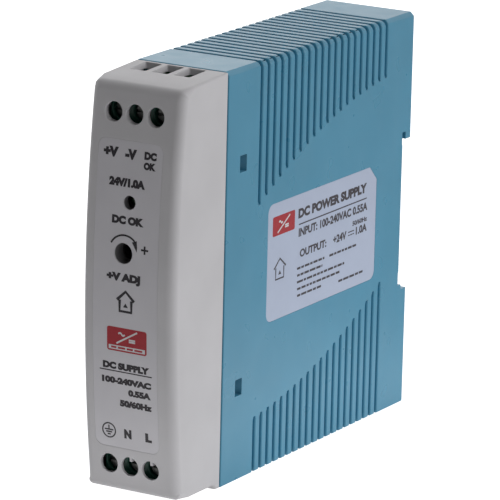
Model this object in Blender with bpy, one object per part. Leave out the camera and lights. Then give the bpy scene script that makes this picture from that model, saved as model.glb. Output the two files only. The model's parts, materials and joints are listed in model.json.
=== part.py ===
"""Slim single-phase power supply for a 35 mm top-hat rail, as an assembly of separate parts.

Frame: metres, X across the width, Y from front (-) to rail (+), Z up from the base.
The origin is the centre of the bottom of the overall box.
"""

import math

import bmesh
import bpy
from mathutils import Matrix, Vector

MM = 0.001

# Overall envelope
WIDTH = 22.5 * MM
DEPTH = 100 * MM
HEIGHT = 90 * MM
HALF_WIDTH = WIDTH / 2
FRONT_Y = -DEPTH / 2
REAR_Y = DEPTH / 2
MID_Z = HEIGHT / 2

# Moulded shells
WALL = 1.8 * MM
GAP = 0.3 * MM
COVER_DEPTH = 20.3 * MM
SEAM_Y = FRONT_Y + COVER_DEPTH
COVER_REAR_Y = SEAM_Y - GAP / 2
HOUSING_FRONT_Y = SEAM_Y + GAP / 2
INNER_HALF_WIDTH = HALF_WIDTH - WALL
CAVITY_REAR_Y = 42.8 * MM
TOP_EDGE_CHAMFER = 1.0 * MM
SMALL_EDGE = 0.25 * MM
REAR_TOP_CHAMFER = 0.3 * MM
REAR_BOTTOM_CHAMFER = 0.3 * MM

# Bowed front face
FACE_RADIUS = 315 * MM
FACE_CENTRE_Z = 46.5 * MM
FACE_TOP_Z = 88.0 * MM
FACE_BOTTOM_Z = 2.0 * MM
FACE_STEPS = 14
COVER_CORNER_RADIUS = 2.0 * MM
COVER_CEILING_Z = 86.8 * MM
COVER_ROOF_Z = 88.6 * MM
COVER_ROOF_FRONT_Y = -41.0 * MM
FOOT_RECESS = 1.1 * MM

# Rail side
RAIL_FACE_Y = REAR_Y - 3.6 * MM
RELIEF = 0.2 * MM
HOOK_BOTTOM_Z = 61.5 * MM
HOOK_SLOT_TOP_Z = 63.2 * MM
HOOK_INNER_Y = REAR_Y - 2.3 * MM
RAIL_LEDGE_Z = 27.9 * MM
LEDGE_LIP_Z = 26.8 * MM
LEDGE_LIP_Y = REAR_Y - 2.4 * MM
SEAT_LOW_Z = 31.0 * MM
SEAT_HIGH_Z = 60.3 * MM

# Rail latch and its guide
LATCH_FLANGE_HALF = 8.2 * MM
LATCH_WEB_HALF = 6.5 * MM
LATCH_FRONT_Y = 44.9 * MM
LATCH_STEP_Y = 46.6 * MM
LATCH_REAR_Y = 49.6 * MM
LATCH_BOTTOM_Z = 0.8 * MM
LATCH_FLANGE_TOP_Z = 26.1 * MM
LATCH_HOOK_Y = 47.9 * MM
LATCH_HOOK_TOP_Z = 30.2 * MM
LATCH_SHOULDER_Z = 27.3 * MM
SPRING_LOW_Z = 10.4 * MM
SPRING_HIGH_Z = 20.4 * MM
SPRING_Y = 47.1 * MM
SPRING_RADIUS = 1.5 * MM
SPRING_WIRE = 0.22 * MM
SPRING_TURNS = 6
SPRING_WINDOW_HALF = 2.6 * MM
SPRING_LEDGE_HALF = 2.2 * MM
SPRING_LEDGE_HEIGHT = 1.8 * MM
SPRING_LEDGE_Y = (43.6 * MM, 48.3 * MM)
LATCH_SLOT_Z = (2.4 * MM, 4.2 * MM)

# Cooling grooves in the two corner fields
GROOVES = 20
GROOVE_PITCH = 2.826 * MM
GROOVE_FIRST_Y = FRONT_Y + 34.0 * MM
GROOVE_WIDTH = 1.0 * MM
GROOVE_DEPTH = 0.9 * MM

# Snap fits between cover and housing
SNAP_Z = (20.6 * MM, 69.4 * MM)
SNAP_WINDOW_HEIGHT = 3.65 * MM
SNAP_WINDOW_Y = (FRONT_Y + 25.6 * MM, FRONT_Y + 28.35 * MM)
SNAP_ARM_INNER_X = 8.3 * MM
SNAP_ARM_OUTER_X = 9.15 * MM
SNAP_LUG_X = 10.35 * MM
SNAP_ARM_END_Y = -21.3 * MM
SNAP_ARM_ROOT_Y = (-34.0 * MM, -30.0 * MM)
SNAP_LUG_LEAD = 0.5 * MM
SNAP_LUG_RAMP = 1.35 * MM

# Labels
LABEL_DEPTH = 0.35 * MM
LABEL_TOP = 0.05 * MM
LABEL_THICKNESS = 0.2 * MM
LABEL_MARGIN = 0.15 * MM
FRONT_LABEL_X = (-8.4 * MM, 7.3 * MM)
FRONT_LABEL_Z = (11.1 * MM, 77.3 * MM)
FRONT_LABEL_CORNER = 1.8 * MM
SIDE_LABEL_Y = (FRONT_Y + 37.9 * MM, FRONT_Y + 85.0 * MM)
SIDE_LABEL_Z = (31.9 * MM, 58.4 * MM)
SIDE_LABEL_CORNER = 2.0 * MM
SIDE_LABEL_CUT = 3.2 * MM

# Terminals: poles stand side by side across the width, mirrored top and bottom
POLE_PITCH = 5.08 * MM
POLE_X = [-0.25 * MM + step * POLE_PITCH for step in (-1, 0, 1)]
POLE_Z = 82.8 * MM
SCREW_HOLE_RADIUS = 2.08 * MM
SCREW_POCKET_X = (-8.0 * MM, 7.5 * MM)
SCREW_POCKET_Y = (-46.7 * MM, -44.0 * MM)
SCREW_POCKET_Z = (80.4 * MM, 85.2 * MM)
BLOCK_FRONT_Y = -44.9 * MM
BLOCK_REAR_Y = -31.0 * MM
BLOCK_LOW_Z = 76.0 * MM
BLOCK_HIGH_Z = 86.5 * MM
SCREW_HEAD_RADIUS = 1.85 * MM
SCREW_HEAD_FRONT_Y = -44.3 * MM
SCREW_HEAD_DEPTH = 1.6 * MM
SCREW_SHAFT_RADIUS = 1.1 * MM
CAGE_HALF = 1.85 * MM
CAGE_WALL = 0.5 * MM
CAGE_Y = (-41.0 * MM, -33.6 * MM)
CAGE_FRONT_WALL = 1.2 * MM
CAGE_REAR_WALL = 1.0 * MM
CAGE_HEIGHT = 5.2 * MM
CAVITY_HALF = 2.15 * MM
BAR_Y = (-38.0 * MM, -37.0 * MM)
BAR_HALF = 0.9 * MM
BAR_FOOT_Z = 77.6 * MM
WIRE_HOLE_Y = (-37.4 * MM, -34.1 * MM)
BLOCK_WIRE_HALF = 1.35 * MM
BLOCK_HOLE_RADIUS = 2.06 * MM
FUNNEL_X = [-0.95 * MM + step * 5.35 * MM for step in (-1, 0, 1)]
FUNNEL_Y = (-37.5 * MM, -31.0 * MM)
FUNNEL_HALF = 2.0 * MM
FUNNEL_END_Y = (-37.3 * MM, -31.4 * MM)
FUNNEL_END_HALF = 1.8 * MM

# Indicator and output adjuster behind the front face
LED_X = -0.15 * MM
LED_Z = 64.5 * MM
LED_HOLE_RADIUS = 1.4 * MM
TRIMMER_X = -1.2 * MM
TRIMMER_Z = 53.65 * MM
TRIMMER_HOLE_RADIUS = 2.15 * MM
TRIMMER_ROTOR_RADIUS = 1.7 * MM
TRIMMER_COLLAR_RADIUS = 3.0 * MM
TRIMMER_COLLAR_END_Y = -46.3 * MM

# Circuit boards
BOARD = 1.6 * MM
FRONT_BOARD_Y = -30.7 * MM
MAIN_BOARD_X = -7.9 * MM
PART_SIDE_X = MAIN_BOARD_X + BOARD + GAP
BOARD_RIB = 0.9 * MM
BOARD_RIB_Y = (-24 * MM, 40 * MM)
BOARD_RIB_Z = (86.3 * MM, 88.8 * MM)
HEATSINK_HEIGHT = 20 * MM


def clear_scene():
    for obj in list(bpy.data.objects):
        bpy.data.objects.remove(obj, do_unlink=True)


def make_material(name, colour, roughness, metallic=0.0):
    material = bpy.data.materials.new(name)
    material.use_nodes = True
    shader = material.node_tree.nodes["Principled BSDF"]
    shader.inputs["Base Color"].default_value = (*colour, 1.0)
    shader.inputs["Roughness"].default_value = roughness
    shader.inputs["Metallic"].default_value = metallic
    return material


def make_object(name, bm, material=None, origin=(0, 0, 0), smooth=False):
    """Turns a bmesh in world coordinates into an object whose origin is where it turns or slides."""
    bmesh.ops.recalc_face_normals(bm, faces=bm.faces)
    bmesh.ops.translate(bm, verts=bm.verts, vec=-Vector(origin))
    mesh = bpy.data.meshes.new(name)
    bm.to_mesh(mesh)
    bm.free()
    obj = bpy.data.objects.new(name, mesh)
    obj.location = origin
    bpy.context.scene.collection.objects.link(obj)
    if material:
        mesh.materials.append(material)
    if smooth:
        mesh.shade_smooth()
        mesh.set_sharp_from_angle(angle=math.radians(35))
    return obj


def make_cutter(name, bm):
    obj = make_object(name, bm)
    obj.hide_render = True
    obj.display_type = "WIRE"
    return obj


def combine(target, tool, operation="DIFFERENCE"):
    modifier = target.modifiers.new(tool.name, "BOOLEAN")
    modifier.operation = operation
    modifier.object = tool
    modifier.solver = "EXACT"


def add_box(bm, x, y, z):
    """A box between the two ends given on each axis."""
    size = Vector((x[1] - x[0], y[1] - y[0], z[1] - z[0]))
    centre = Vector((x[0] + x[1], y[0] + y[1], z[0] + z[1])) / 2
    bmesh.ops.create_cube(bm, size=1, matrix=Matrix.Translation(centre) @ Matrix.Diagonal((*size, 1)))


def box(x, y, z):
    bm = bmesh.new()
    add_box(bm, x, y, z)
    return bm


def add_prism(bm, outline, axis, low, high):
    """An outline in the plane across axis (in X, Y, Z order) pushed from low to high along it."""

    def place(point, along):
        point = list(point)
        point.insert("xyz".index(axis), along)
        return point

    face = bm.faces.new([bm.verts.new(place(point, low)) for point in outline])
    pushed = bmesh.ops.extrude_face_region(bm, geom=[face])
    verts = [item for item in pushed["geom"] if isinstance(item, bmesh.types.BMVert)]
    step = Vector(place((0, 0), high - low))
    bmesh.ops.translate(bm, verts=verts, vec=step)


def prism(outline, axis, low, high):
    bm = bmesh.new()
    add_prism(bm, outline, axis, low, high)
    return bm


def bevel(bm, edges, width, segments):
    bmesh.ops.bevel(bm, geom=edges, offset=width, segments=segments, profile=0.5, affect="EDGES")


def add_cylinder(bm, centre, axis, radius, low, high, sides=20, end_radius=None):
    """A round bar or cone along an axis; centre holds the other two coordinates."""
    turn = {
        "x": Matrix.Rotation(math.pi / 2, 4, "Y"),
        "y": Matrix.Rotation(-math.pi / 2, 4, "X"),
        "z": Matrix(),
    }
    place = list(centre)
    place.insert("xyz".index(axis), (low + high) / 2)
    bmesh.ops.create_cone(
        bm,
        cap_ends=True,
        segments=sides,
        radius1=radius,
        radius2=radius if end_radius is None else end_radius,
        depth=high - low,
        matrix=Matrix.Translation(place) @ turn[axis],
    )


def cylinder(centre, axis, radius, low, high, sides=20, end_radius=None):
    bm = bmesh.new()
    add_cylinder(bm, centre, axis, radius, low, high, sides, end_radius)
    return bm


def lathe(profile, centre, axis, sides=20):
    """A turned body: profile is (radius, distance along axis) from one end's middle to the other's."""
    bm = bmesh.new()
    others = [index for index in range(3) if index != "xyz".index(axis)]
    verts = []
    for radius, along in profile:
        point = [0.0, 0.0, 0.0]
        point["xyz".index(axis)] = along
        point[others[0]] = centre[0] + radius
        point[others[1]] = centre[1]
        verts.append(bm.verts.new(point))
    edges = [bm.edges.new(pair) for pair in zip(verts, verts[1:])]
    middle = [0.0, 0.0, 0.0]
    middle[others[0]] = centre[0]
    middle[others[1]] = centre[1]
    direction = [0.0, 0.0, 0.0]
    direction["xyz".index(axis)] = 1.0
    bmesh.ops.spin(
        bm,
        geom=verts + edges,
        cent=middle,
        axis=direction,
        angle=2 * math.pi,
        steps=sides,
        use_merge=True,
    )
    bmesh.ops.remove_doubles(bm, verts=bm.verts, dist=1e-6)
    return bm


def rounded_outline(u, v, radius, steps=4, cut=0.0):
    """A rectangle with round corners; a cut takes the corner at high u and high v off straight."""
    points = []
    corners = ((u[1], v[1], 0), (u[0], v[1], 90), (u[0], v[0], 180), (u[1], v[0], 270))
    for corner_u, corner_v, start in corners:
        if cut and start == 0:
            points += [(corner_u, corner_v - cut), (corner_u - cut, corner_v)]
            continue
        side_u = 1 if corner_u == u[1] else -1
        side_v = 1 if corner_v == v[1] else -1
        for step in range(steps + 1):
            angle = math.radians(start + 90 * step / steps)
            centre_u = corner_u - side_u * radius
            centre_v = corner_v - side_v * radius
            points.append((centre_u + radius * math.cos(angle), centre_v + radius * math.sin(angle)))
    return points


def face_y(z, inset=0.0):
    """Where the bowed front face lies at height z, moved back by inset."""
    rise = FACE_RADIUS - math.sqrt(FACE_RADIUS**2 - (z - FACE_CENTRE_Z) ** 2)
    return FRONT_Y + rise + inset


def face_points(low, high, inset=0.0):
    """Points down the bowed face from high to low."""
    heights = [high + (low - high) * step / FACE_STEPS for step in range(FACE_STEPS + 1)]
    return [(face_y(z, inset), z) for z in heights]


def mirrored(z, side):
    """The height z in the top half, or its mirror in the bottom half where side is -1."""
    return MID_Z + side * (z - MID_Z)


def mirrored_span(span, side):
    return tuple(sorted(mirrored(z, side) for z in span))


def poles():
    """Each terminal: its group, number, X position and +1 for the top row or -1 for the bottom."""
    for group, side in (("output", 1), ("input", -1)):
        for number, x in enumerate(POLE_X, 1):
            yield group, number, x, side


def lower_groove_end(y):
    """Height at which the lower field's groove at y stops: a curve that climbs towards the rail."""
    run = (y - GROOVE_FIRST_Y) / MM
    return (12.5 + 0.1118 * run + 0.004206 * run**2) * MM


def upper_groove_end(y):
    """The lower field's curve turned half a turn about the middle of the side."""
    last = GROOVE_FIRST_Y + (GROOVES - 1) * GROOVE_PITCH
    return HEIGHT - lower_groove_end(GROOVE_FIRST_Y + last - y)


def funnel_cutter():
    """Tapered wire entries through the cover's top and bottom walls."""
    bm = bmesh.new()
    for mouth_x, pole_x in zip(FUNNEL_X, POLE_X):
        for side in (1, -1):
            mouth = (mouth_x, FUNNEL_HALF, FUNNEL_Y, mirrored(HEIGHT + 0.2 * MM, side))
            end_x = (mouth_x + pole_x) / 2
            end = (end_x, FUNNEL_END_HALF, FUNNEL_END_Y, mirrored(COVER_CEILING_Z - GAP, side))
            rings = []
            for x, half, span, z in (mouth, end):
                corners = (
                    (x - half, span[0], z),
                    (x + half, span[0], z),
                    (x + half, span[1], z),
                    (x - half, span[1], z),
                )
                rings.append([bm.verts.new(corner) for corner in corners])
            bm.faces.new(rings[0])
            bm.faces.new(rings[1])
            for first in range(4):
                second = (first + 1) % 4
                bm.faces.new((rings[0][first], rings[0][second], rings[1][second], rings[1][first]))
    return make_cutter("cut_funnels", bm)


def face_hole_cutter():
    """Round holes through the front wall for the screws, the indicator and the adjuster."""
    bm = bmesh.new()
    span = (FRONT_Y - MM, FRONT_Y + 7 * MM)
    trimmer_span = (FRONT_Y - MM, TRIMMER_COLLAR_END_Y + MM)
    for _, _, x, side in poles():
        add_cylinder(bm, (x, mirrored(POLE_Z, side)), "y", SCREW_HOLE_RADIUS, *span, 24)
    add_cylinder(bm, (LED_X, LED_Z), "y", LED_HOLE_RADIUS, *span, 16)
    add_cylinder(bm, (TRIMMER_X, TRIMMER_Z), "y", TRIMMER_HOLE_RADIUS, *trimmer_span, 20)
    return make_cutter("cut_face_holes", bm)


def trimmer_collar_tool():
    """A collar behind the adjuster's hole that guides the screwdriver."""
    start = face_y(TRIMMER_Z, WALL / 2)
    span = (start, TRIMMER_COLLAR_END_Y)
    collar = cylinder((TRIMMER_X, TRIMMER_Z), "y", TRIMMER_COLLAR_RADIUS, *span, 20)
    return make_cutter("tool_trimmer_collar", collar)


def label_band(name, first_inset, last_inset, margin):
    """A slice of the bowed face between two insets, trimmed to the label's rounded outline."""
    span_x = (FRONT_LABEL_X[0] - margin, FRONT_LABEL_X[1] + margin)
    span_z = (FRONT_LABEL_Z[0] - margin, FRONT_LABEL_Z[1] + margin)
    low, high = span_z[0] - MM, span_z[1] + MM
    outline = face_points(low, high, first_inset) + face_points(low, high, last_inset)[::-1]
    band = make_object(name, prism(outline, "x", span_x[0] - MM, span_x[1] + MM))
    rim = rounded_outline(span_x, span_z, FRONT_LABEL_CORNER + margin)
    trim = make_cutter(f"trim_{name}", prism(rim, "y", FRONT_Y - 5 * MM, FRONT_Y + 8 * MM))
    combine(band, trim, "INTERSECT")
    return band


def snap_arm_tool():
    """Four arms behind the cover, each with a ramped lug for a window in the housing."""
    bm = bmesh.new()
    lug_front = SNAP_WINDOW_Y[0] + SNAP_LUG_LEAD
    lug_rear = SNAP_WINDOW_Y[1] - GAP
    root = SNAP_ARM_ROOT_Y
    in_wall = INNER_HALF_WIDTH + WALL / 3
    outline = (
        (in_wall, root[0]),
        (SNAP_ARM_INNER_X, root[0]),
        (SNAP_ARM_INNER_X, SNAP_ARM_END_Y),
        (SNAP_ARM_OUTER_X, SNAP_ARM_END_Y),
        (SNAP_ARM_OUTER_X, lug_rear),
        (SNAP_LUG_X, lug_rear - SNAP_LUG_RAMP),
        (SNAP_LUG_X, lug_front),
        (SNAP_ARM_OUTER_X, lug_front),
        (SNAP_ARM_OUTER_X, root[1]),
        (in_wall, root[1]),
    )
    half = SNAP_WINDOW_HEIGHT / 2 - GAP
    for z in SNAP_Z:
        for side in (-1, 1):
            add_prism(bm, [(side * x, y) for x, y in outline], "z", z - half, z + half)
    return make_cutter("tool_snap_arms", bm)


def make_front_cover(material):
    face = face_points(FACE_BOTTOM_Z, FACE_TOP_Z)
    outline = [
        (COVER_REAR_Y, 0),
        (COVER_REAR_Y, HEIGHT),
        (FRONT_Y + 7.0 * MM, HEIGHT - 0.6 * MM),
        (FRONT_Y + 3.7 * MM, HEIGHT - 1.25 * MM),
        *face,
        (FRONT_Y + 4.0 * MM, 1.4 * MM),
        (FRONT_Y + 8.0 * MM, FOOT_RECESS),
        (FRONT_Y + 17.5 * MM, FOOT_RECESS),
        (FRONT_Y + 18.6 * MM, 0),
    ]
    bm = prism(outline, "x", -HALF_WIDTH, HALF_WIDTH)
    corner = FRONT_Y + 5 * MM
    chains = [
        edge
        for edge in bm.edges
        if all(vert.co.y < corner for vert in edge.verts) and edge.verts[0].co.x == edge.verts[1].co.x
    ]
    bevel(bm, chains, COVER_CORNER_RADIUS, 3)
    cover = make_object("front_cover", bm, material, smooth=True)
    floor_z = HEIGHT - COVER_CEILING_Z
    inner = face_points(floor_z, COVER_CEILING_Z, WALL)
    inner += [(SEAM_Y + 5 * MM, floor_z), (SEAM_Y + 5 * MM, COVER_CEILING_Z)]
    across = (-INNER_HALF_WIDTH, INNER_HALF_WIDTH)
    hollow = make_cutter("cut_cover_hollow", prism(inner, "x", *across))
    combine(cover, hollow)
    roof = box(across, (COVER_ROOF_FRONT_Y, SEAM_Y + 5 * MM), (COVER_CEILING_Z - MM, COVER_ROOF_Z))
    combine(cover, make_cutter("cut_cover_roof", roof))
    bm = bmesh.new()
    for side in (1, -1):
        add_box(bm, SCREW_POCKET_X, SCREW_POCKET_Y, mirrored_span(SCREW_POCKET_Z, side))
    combine(cover, make_cutter("cut_screw_pockets", bm))
    combine(cover, trimmer_collar_tool(), "UNION")
    pocket = label_band("cut_front_label_pocket", -2 * MM, LABEL_DEPTH, LABEL_MARGIN)
    pocket.hide_render = True
    pocket.display_type = "WIRE"
    combine(cover, pocket)
    combine(cover, face_hole_cutter())
    combine(cover, funnel_cutter())
    combine(cover, snap_arm_tool(), "UNION")


def make_front_label(material):
    label = label_band("front_label", LABEL_TOP, LABEL_TOP + LABEL_THICKNESS, 0)
    label.data.materials.append(material)
    bm = bmesh.new()
    clearance = 0.1 * MM
    rear = FRONT_Y + 5 * MM
    add_cylinder(bm, (LED_X, LED_Z), "y", LED_HOLE_RADIUS + clearance, FRONT_Y - MM, rear, 16)
    add_cylinder(bm, (TRIMMER_X, TRIMMER_Z), "y", TRIMMER_HOLE_RADIUS + clearance, FRONT_Y - MM, rear, 20)
    combine(label, make_cutter("cut_front_label_holes", bm))


def make_side_label(material):
    outline = rounded_outline(SIDE_LABEL_Y, SIDE_LABEL_Z, SIDE_LABEL_CORNER, cut=SIDE_LABEL_CUT)
    outer = HALF_WIDTH - LABEL_TOP
    make_object("side_label", prism(outline, "x", outer - LABEL_THICKNESS, outer), material)


def groove_cutter():
    """Channels that run up one side, across the top or bottom wall and down the other side."""
    bm = bmesh.new()
    reach = HALF_WIDTH + MM
    floor_x = HALF_WIDTH - GROOVE_DEPTH
    for index in range(GROOVES):
        y = GROOVE_FIRST_Y + index * GROOVE_PITCH
        for end, wall in ((upper_groove_end(y), HEIGHT), (lower_groove_end(y), 0)):
            outward = 1 if wall else -1
            floor_z = wall - outward * GROOVE_DEPTH
            beyond = wall + outward * MM
            outline = (
                (-reach, end),
                (-reach, beyond),
                (reach, beyond),
                (reach, end),
                (floor_x, end),
                (floor_x, floor_z),
                (-floor_x, floor_z),
                (-floor_x, end),
            )
            add_prism(bm, outline, "y", y - GROOVE_WIDTH / 2, y + GROOVE_WIDTH / 2)
    return make_cutter("cut_grooves", bm)


def latch_guide_cutter():
    """A T-shaped slideway up the rear foot that holds the latch by its flanges."""
    bm = bmesh.new()
    flange = LATCH_FLANGE_HALF + GAP
    web = LATCH_WEB_HALF + GAP
    front = LATCH_FRONT_Y - GAP
    step = LATCH_STEP_Y + GAP
    outline = (
        (-flange, front),
        (flange, front),
        (flange, step),
        (web, step),
        (web, REAR_Y + MM),
        (-web, REAR_Y + MM),
        (-web, step),
        (-flange, step),
    )
    add_prism(bm, outline, "z", -MM, LATCH_FLANGE_TOP_Z + GAP)
    return make_cutter("cut_latch_guide", bm)


def latch_mouth_cutter():
    """Opens the slideway's web through the ledge that carries the rail's lower edge."""
    web = LATCH_WEB_HALF + GAP
    heights = (LATCH_FLANGE_TOP_Z - MM, RAIL_LEDGE_Z + 2 * MM)
    return make_cutter("cut_latch_mouth", box((-web, web), (LATCH_STEP_Y - GAP, REAR_Y + MM), heights))


def housing_additions():
    """The spring's ledge in the slideway, and ribs that hold the main board's long edges."""
    bm = bmesh.new()
    ledge_z = (SPRING_LOW_Z - GAP - SPRING_LEDGE_HEIGHT, SPRING_LOW_Z - GAP)
    add_box(bm, (-SPRING_LEDGE_HALF, SPRING_LEDGE_HALF), SPRING_LEDGE_Y, ledge_z)
    rib_x = (PART_SIDE_X, PART_SIDE_X + BOARD_RIB)
    for side in (1, -1):
        add_box(bm, rib_x, BOARD_RIB_Y, mirrored_span(BOARD_RIB_Z, side))
    return make_cutter("tool_housing_additions", bm)


def edges_along(bm, x, z):
    """The edges that run along the depth at this width and height."""
    place = Vector((x, z))
    return [
        edge
        for edge in bm.edges
        if all((Vector((vert.co.x, vert.co.z)) - place).length < SMALL_EDGE / 10 for vert in edge.verts)
    ]


def top_edge_cutter():
    """Takes the top edge on the label's side off at 45 degrees."""
    corner = TOP_EDGE_CHAMFER + MM
    outline = (
        (HALF_WIDTH - corner, HEIGHT + MM),
        (HALF_WIDTH + MM, HEIGHT + MM),
        (HALF_WIDTH + MM, HEIGHT - corner),
    )
    return make_cutter("cut_top_edge", prism(outline, "y", HOUSING_FRONT_Y - MM, REAR_Y + MM))


def make_housing(material):
    floor_y = RAIL_FACE_Y - RELIEF
    outline = [
        (HOUSING_FRONT_Y, 0),
        (REAR_Y - REAR_BOTTOM_CHAMFER, 0),
        (REAR_Y, REAR_BOTTOM_CHAMFER),
        (REAR_Y, LEDGE_LIP_Z),
        (LEDGE_LIP_Y, LEDGE_LIP_Z),
        (LEDGE_LIP_Y, RAIL_LEDGE_Z),
        (floor_y, RAIL_LEDGE_Z),
        (floor_y, SEAT_LOW_Z),
        (RAIL_FACE_Y, SEAT_LOW_Z),
        (RAIL_FACE_Y, SEAT_HIGH_Z),
        (floor_y, SEAT_HIGH_Z),
        (floor_y, HOOK_SLOT_TOP_Z),
        (HOOK_INNER_Y, HOOK_SLOT_TOP_Z),
        (HOOK_INNER_Y, HOOK_BOTTOM_Z),
        (REAR_Y, HOOK_BOTTOM_Z),
        (REAR_Y, HEIGHT - REAR_TOP_CHAMFER),
        (REAR_Y - REAR_TOP_CHAMFER, HEIGHT),
        (HOUSING_FRONT_Y, HEIGHT),
    ]
    bm = prism(outline, "x", -HALF_WIDTH, HALF_WIDTH)
    for side, height in ((-1, HEIGHT), (-1, 0), (1, 0)):
        bevel(bm, edges_along(bm, side * HALF_WIDTH, height), SMALL_EDGE, 1)
    housing = make_object("housing", bm, material, smooth=True)
    combine(housing, top_edge_cutter())
    span = (-INNER_HALF_WIDTH, INNER_HALF_WIDTH)
    hollow = box(span, (SEAM_Y - 5 * MM, CAVITY_REAR_Y), (WALL, HEIGHT - WALL))
    combine(housing, make_cutter("cut_housing_hollow", hollow))
    bm = bmesh.new()
    for z in SNAP_Z:
        half = SNAP_WINDOW_HEIGHT / 2
        add_box(bm, (-WIDTH, WIDTH), SNAP_WINDOW_Y, (z - half, z + half))
    combine(housing, make_cutter("cut_snap_windows", bm))
    combine(housing, groove_cutter())
    grown_y = (SIDE_LABEL_Y[0] - LABEL_MARGIN, SIDE_LABEL_Y[1] + LABEL_MARGIN)
    grown_z = (SIDE_LABEL_Z[0] - LABEL_MARGIN, SIDE_LABEL_Z[1] + LABEL_MARGIN)
    rim = rounded_outline(grown_y, grown_z, SIDE_LABEL_CORNER + LABEL_MARGIN, cut=SIDE_LABEL_CUT)
    pocket = prism(rim, "x", HALF_WIDTH - LABEL_DEPTH, HALF_WIDTH + MM)
    combine(housing, make_cutter("cut_side_label_pocket", pocket))
    combine(housing, latch_guide_cutter())
    combine(housing, latch_mouth_cutter())
    combine(housing, housing_additions(), "UNION")


def make_latch(material):
    """The slider: flanged blade, window for its spring, screwdriver slot and rail hook."""
    flange = LATCH_FLANGE_HALF
    web = LATCH_WEB_HALF
    outline = (
        (-flange, LATCH_FRONT_Y),
        (flange, LATCH_FRONT_Y),
        (flange, LATCH_STEP_Y),
        (web, LATCH_STEP_Y),
        (web, LATCH_REAR_Y),
        (-web, LATCH_REAR_Y),
        (-web, LATCH_STEP_Y),
        (-flange, LATCH_STEP_Y),
    )
    latch = make_object("latch_slider", prism(outline, "z", LATCH_BOTTOM_Z, LATCH_FLANGE_TOP_Z), material)
    neck_y = LATCH_STEP_Y + 0.1 * MM
    hook = (
        (neck_y, LATCH_FLANGE_TOP_Z - 2 * MM),
        (LATCH_REAR_Y, LATCH_FLANGE_TOP_Z - 2 * MM),
        (LATCH_REAR_Y, LATCH_SHOULDER_Z + 0.4 * MM),
        (LATCH_HOOK_Y + 0.6 * MM, LATCH_HOOK_TOP_Z),
        (LATCH_HOOK_Y, LATCH_HOOK_TOP_Z),
        (LATCH_HOOK_Y, LATCH_SHOULDER_Z),
        (neck_y, LATCH_SHOULDER_Z),
    )
    tip = make_cutter("tool_latch_hook", prism(hook, "x", -web + 0.1 * MM, web - 0.1 * MM))
    combine(latch, tip, "UNION")
    bm = bmesh.new()
    through = (LATCH_FRONT_Y - MM, LATCH_REAR_Y + MM)
    window = SPRING_WINDOW_HALF
    window_floor = SPRING_LOW_Z - SPRING_LEDGE_HEIGHT - 2 * GAP
    add_box(bm, (-window, window), through, (window_floor, SPRING_HIGH_Z + GAP))
    add_box(bm, (-window, window), through, LATCH_SLOT_Z)
    combine(latch, make_cutter("cut_latch_windows", bm))


def make_latch_spring(material):
    """Compression spring between the housing's ledge and the latch's window."""
    bm = bmesh.new()
    steps = 10
    sides = 5
    rise = SPRING_HIGH_Z - SPRING_LOW_Z - 2 * SPRING_WIRE
    foot = Vector((0, SPRING_Y, SPRING_LOW_Z + SPRING_WIRE))
    rings = []
    for index in range(SPRING_TURNS * steps + 1):
        share = index / (SPRING_TURNS * steps)
        angle = 2 * math.pi * index / steps
        outward = Vector((math.cos(angle), math.sin(angle), 0))
        middle = foot + Vector((0, 0, rise * share)) + outward * SPRING_RADIUS
        ring = []
        for side in range(sides):
            around = 2 * math.pi * side / sides
            offset = outward * math.cos(around) + Vector((0, 0, 1)) * math.sin(around)
            ring.append(bm.verts.new(middle + offset * SPRING_WIRE))
        rings.append(ring)
    bm.faces.new(rings[0])
    bm.faces.new(rings[-1])
    for first, second in zip(rings, rings[1:]):
        for side in range(sides):
            after = (side + 1) % sides
            bm.faces.new((first[side], first[after], second[after], second[side]))
    make_object("latch_spring", bm, material, (0, SPRING_Y, SPRING_LOW_Z), smooth=True)


def make_terminal_blocks(material):
    for group, side in (("output", 1), ("input", -1)):
        span_x = (POLE_X[0] - POLE_PITCH / 2, POLE_X[-1] + POLE_PITCH / 2)
        chamfer = 1.5 * MM
        outline = [
            (BLOCK_REAR_Y, BLOCK_LOW_Z),
            (BLOCK_REAR_Y, BLOCK_HIGH_Z),
            (BLOCK_FRONT_Y, BLOCK_HIGH_Z),
            (BLOCK_FRONT_Y, BLOCK_LOW_Z + chamfer),
            (BLOCK_FRONT_Y + chamfer, BLOCK_LOW_Z),
        ]
        body = prism([(y, mirrored(z, side)) for y, z in outline], "x", *span_x)
        block = make_object(f"{group}_terminal_block", body, material)
        cavities = bmesh.new()
        openings = bmesh.new()
        for x in POLE_X:
            across = (x - CAVITY_HALF, x + CAVITY_HALF)
            height = mirrored_span((BAR_FOOT_Z - GAP, POLE_Z + CAGE_HEIGHT / 2 + GAP), side)
            add_box(cavities, across, (-42.9 * MM, BLOCK_REAR_Y + MM), height)
            bore = (BLOCK_FRONT_Y - MM, -42.4 * MM)
            add_cylinder(openings, (x, mirrored(POLE_Z, side)), "y", BLOCK_HOLE_RADIUS, *bore, 18)
            wire = (x - BLOCK_WIRE_HALF, x + BLOCK_WIRE_HALF)
            top = mirrored_span((POLE_Z + CAGE_HEIGHT / 2, BLOCK_HIGH_Z + MM), side)
            add_box(openings, wire, WIRE_HOLE_Y, top)
        combine(block, make_cutter(f"cut_{group}_cavities", cavities))
        combine(block, make_cutter(f"cut_{group}_openings", openings))


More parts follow.
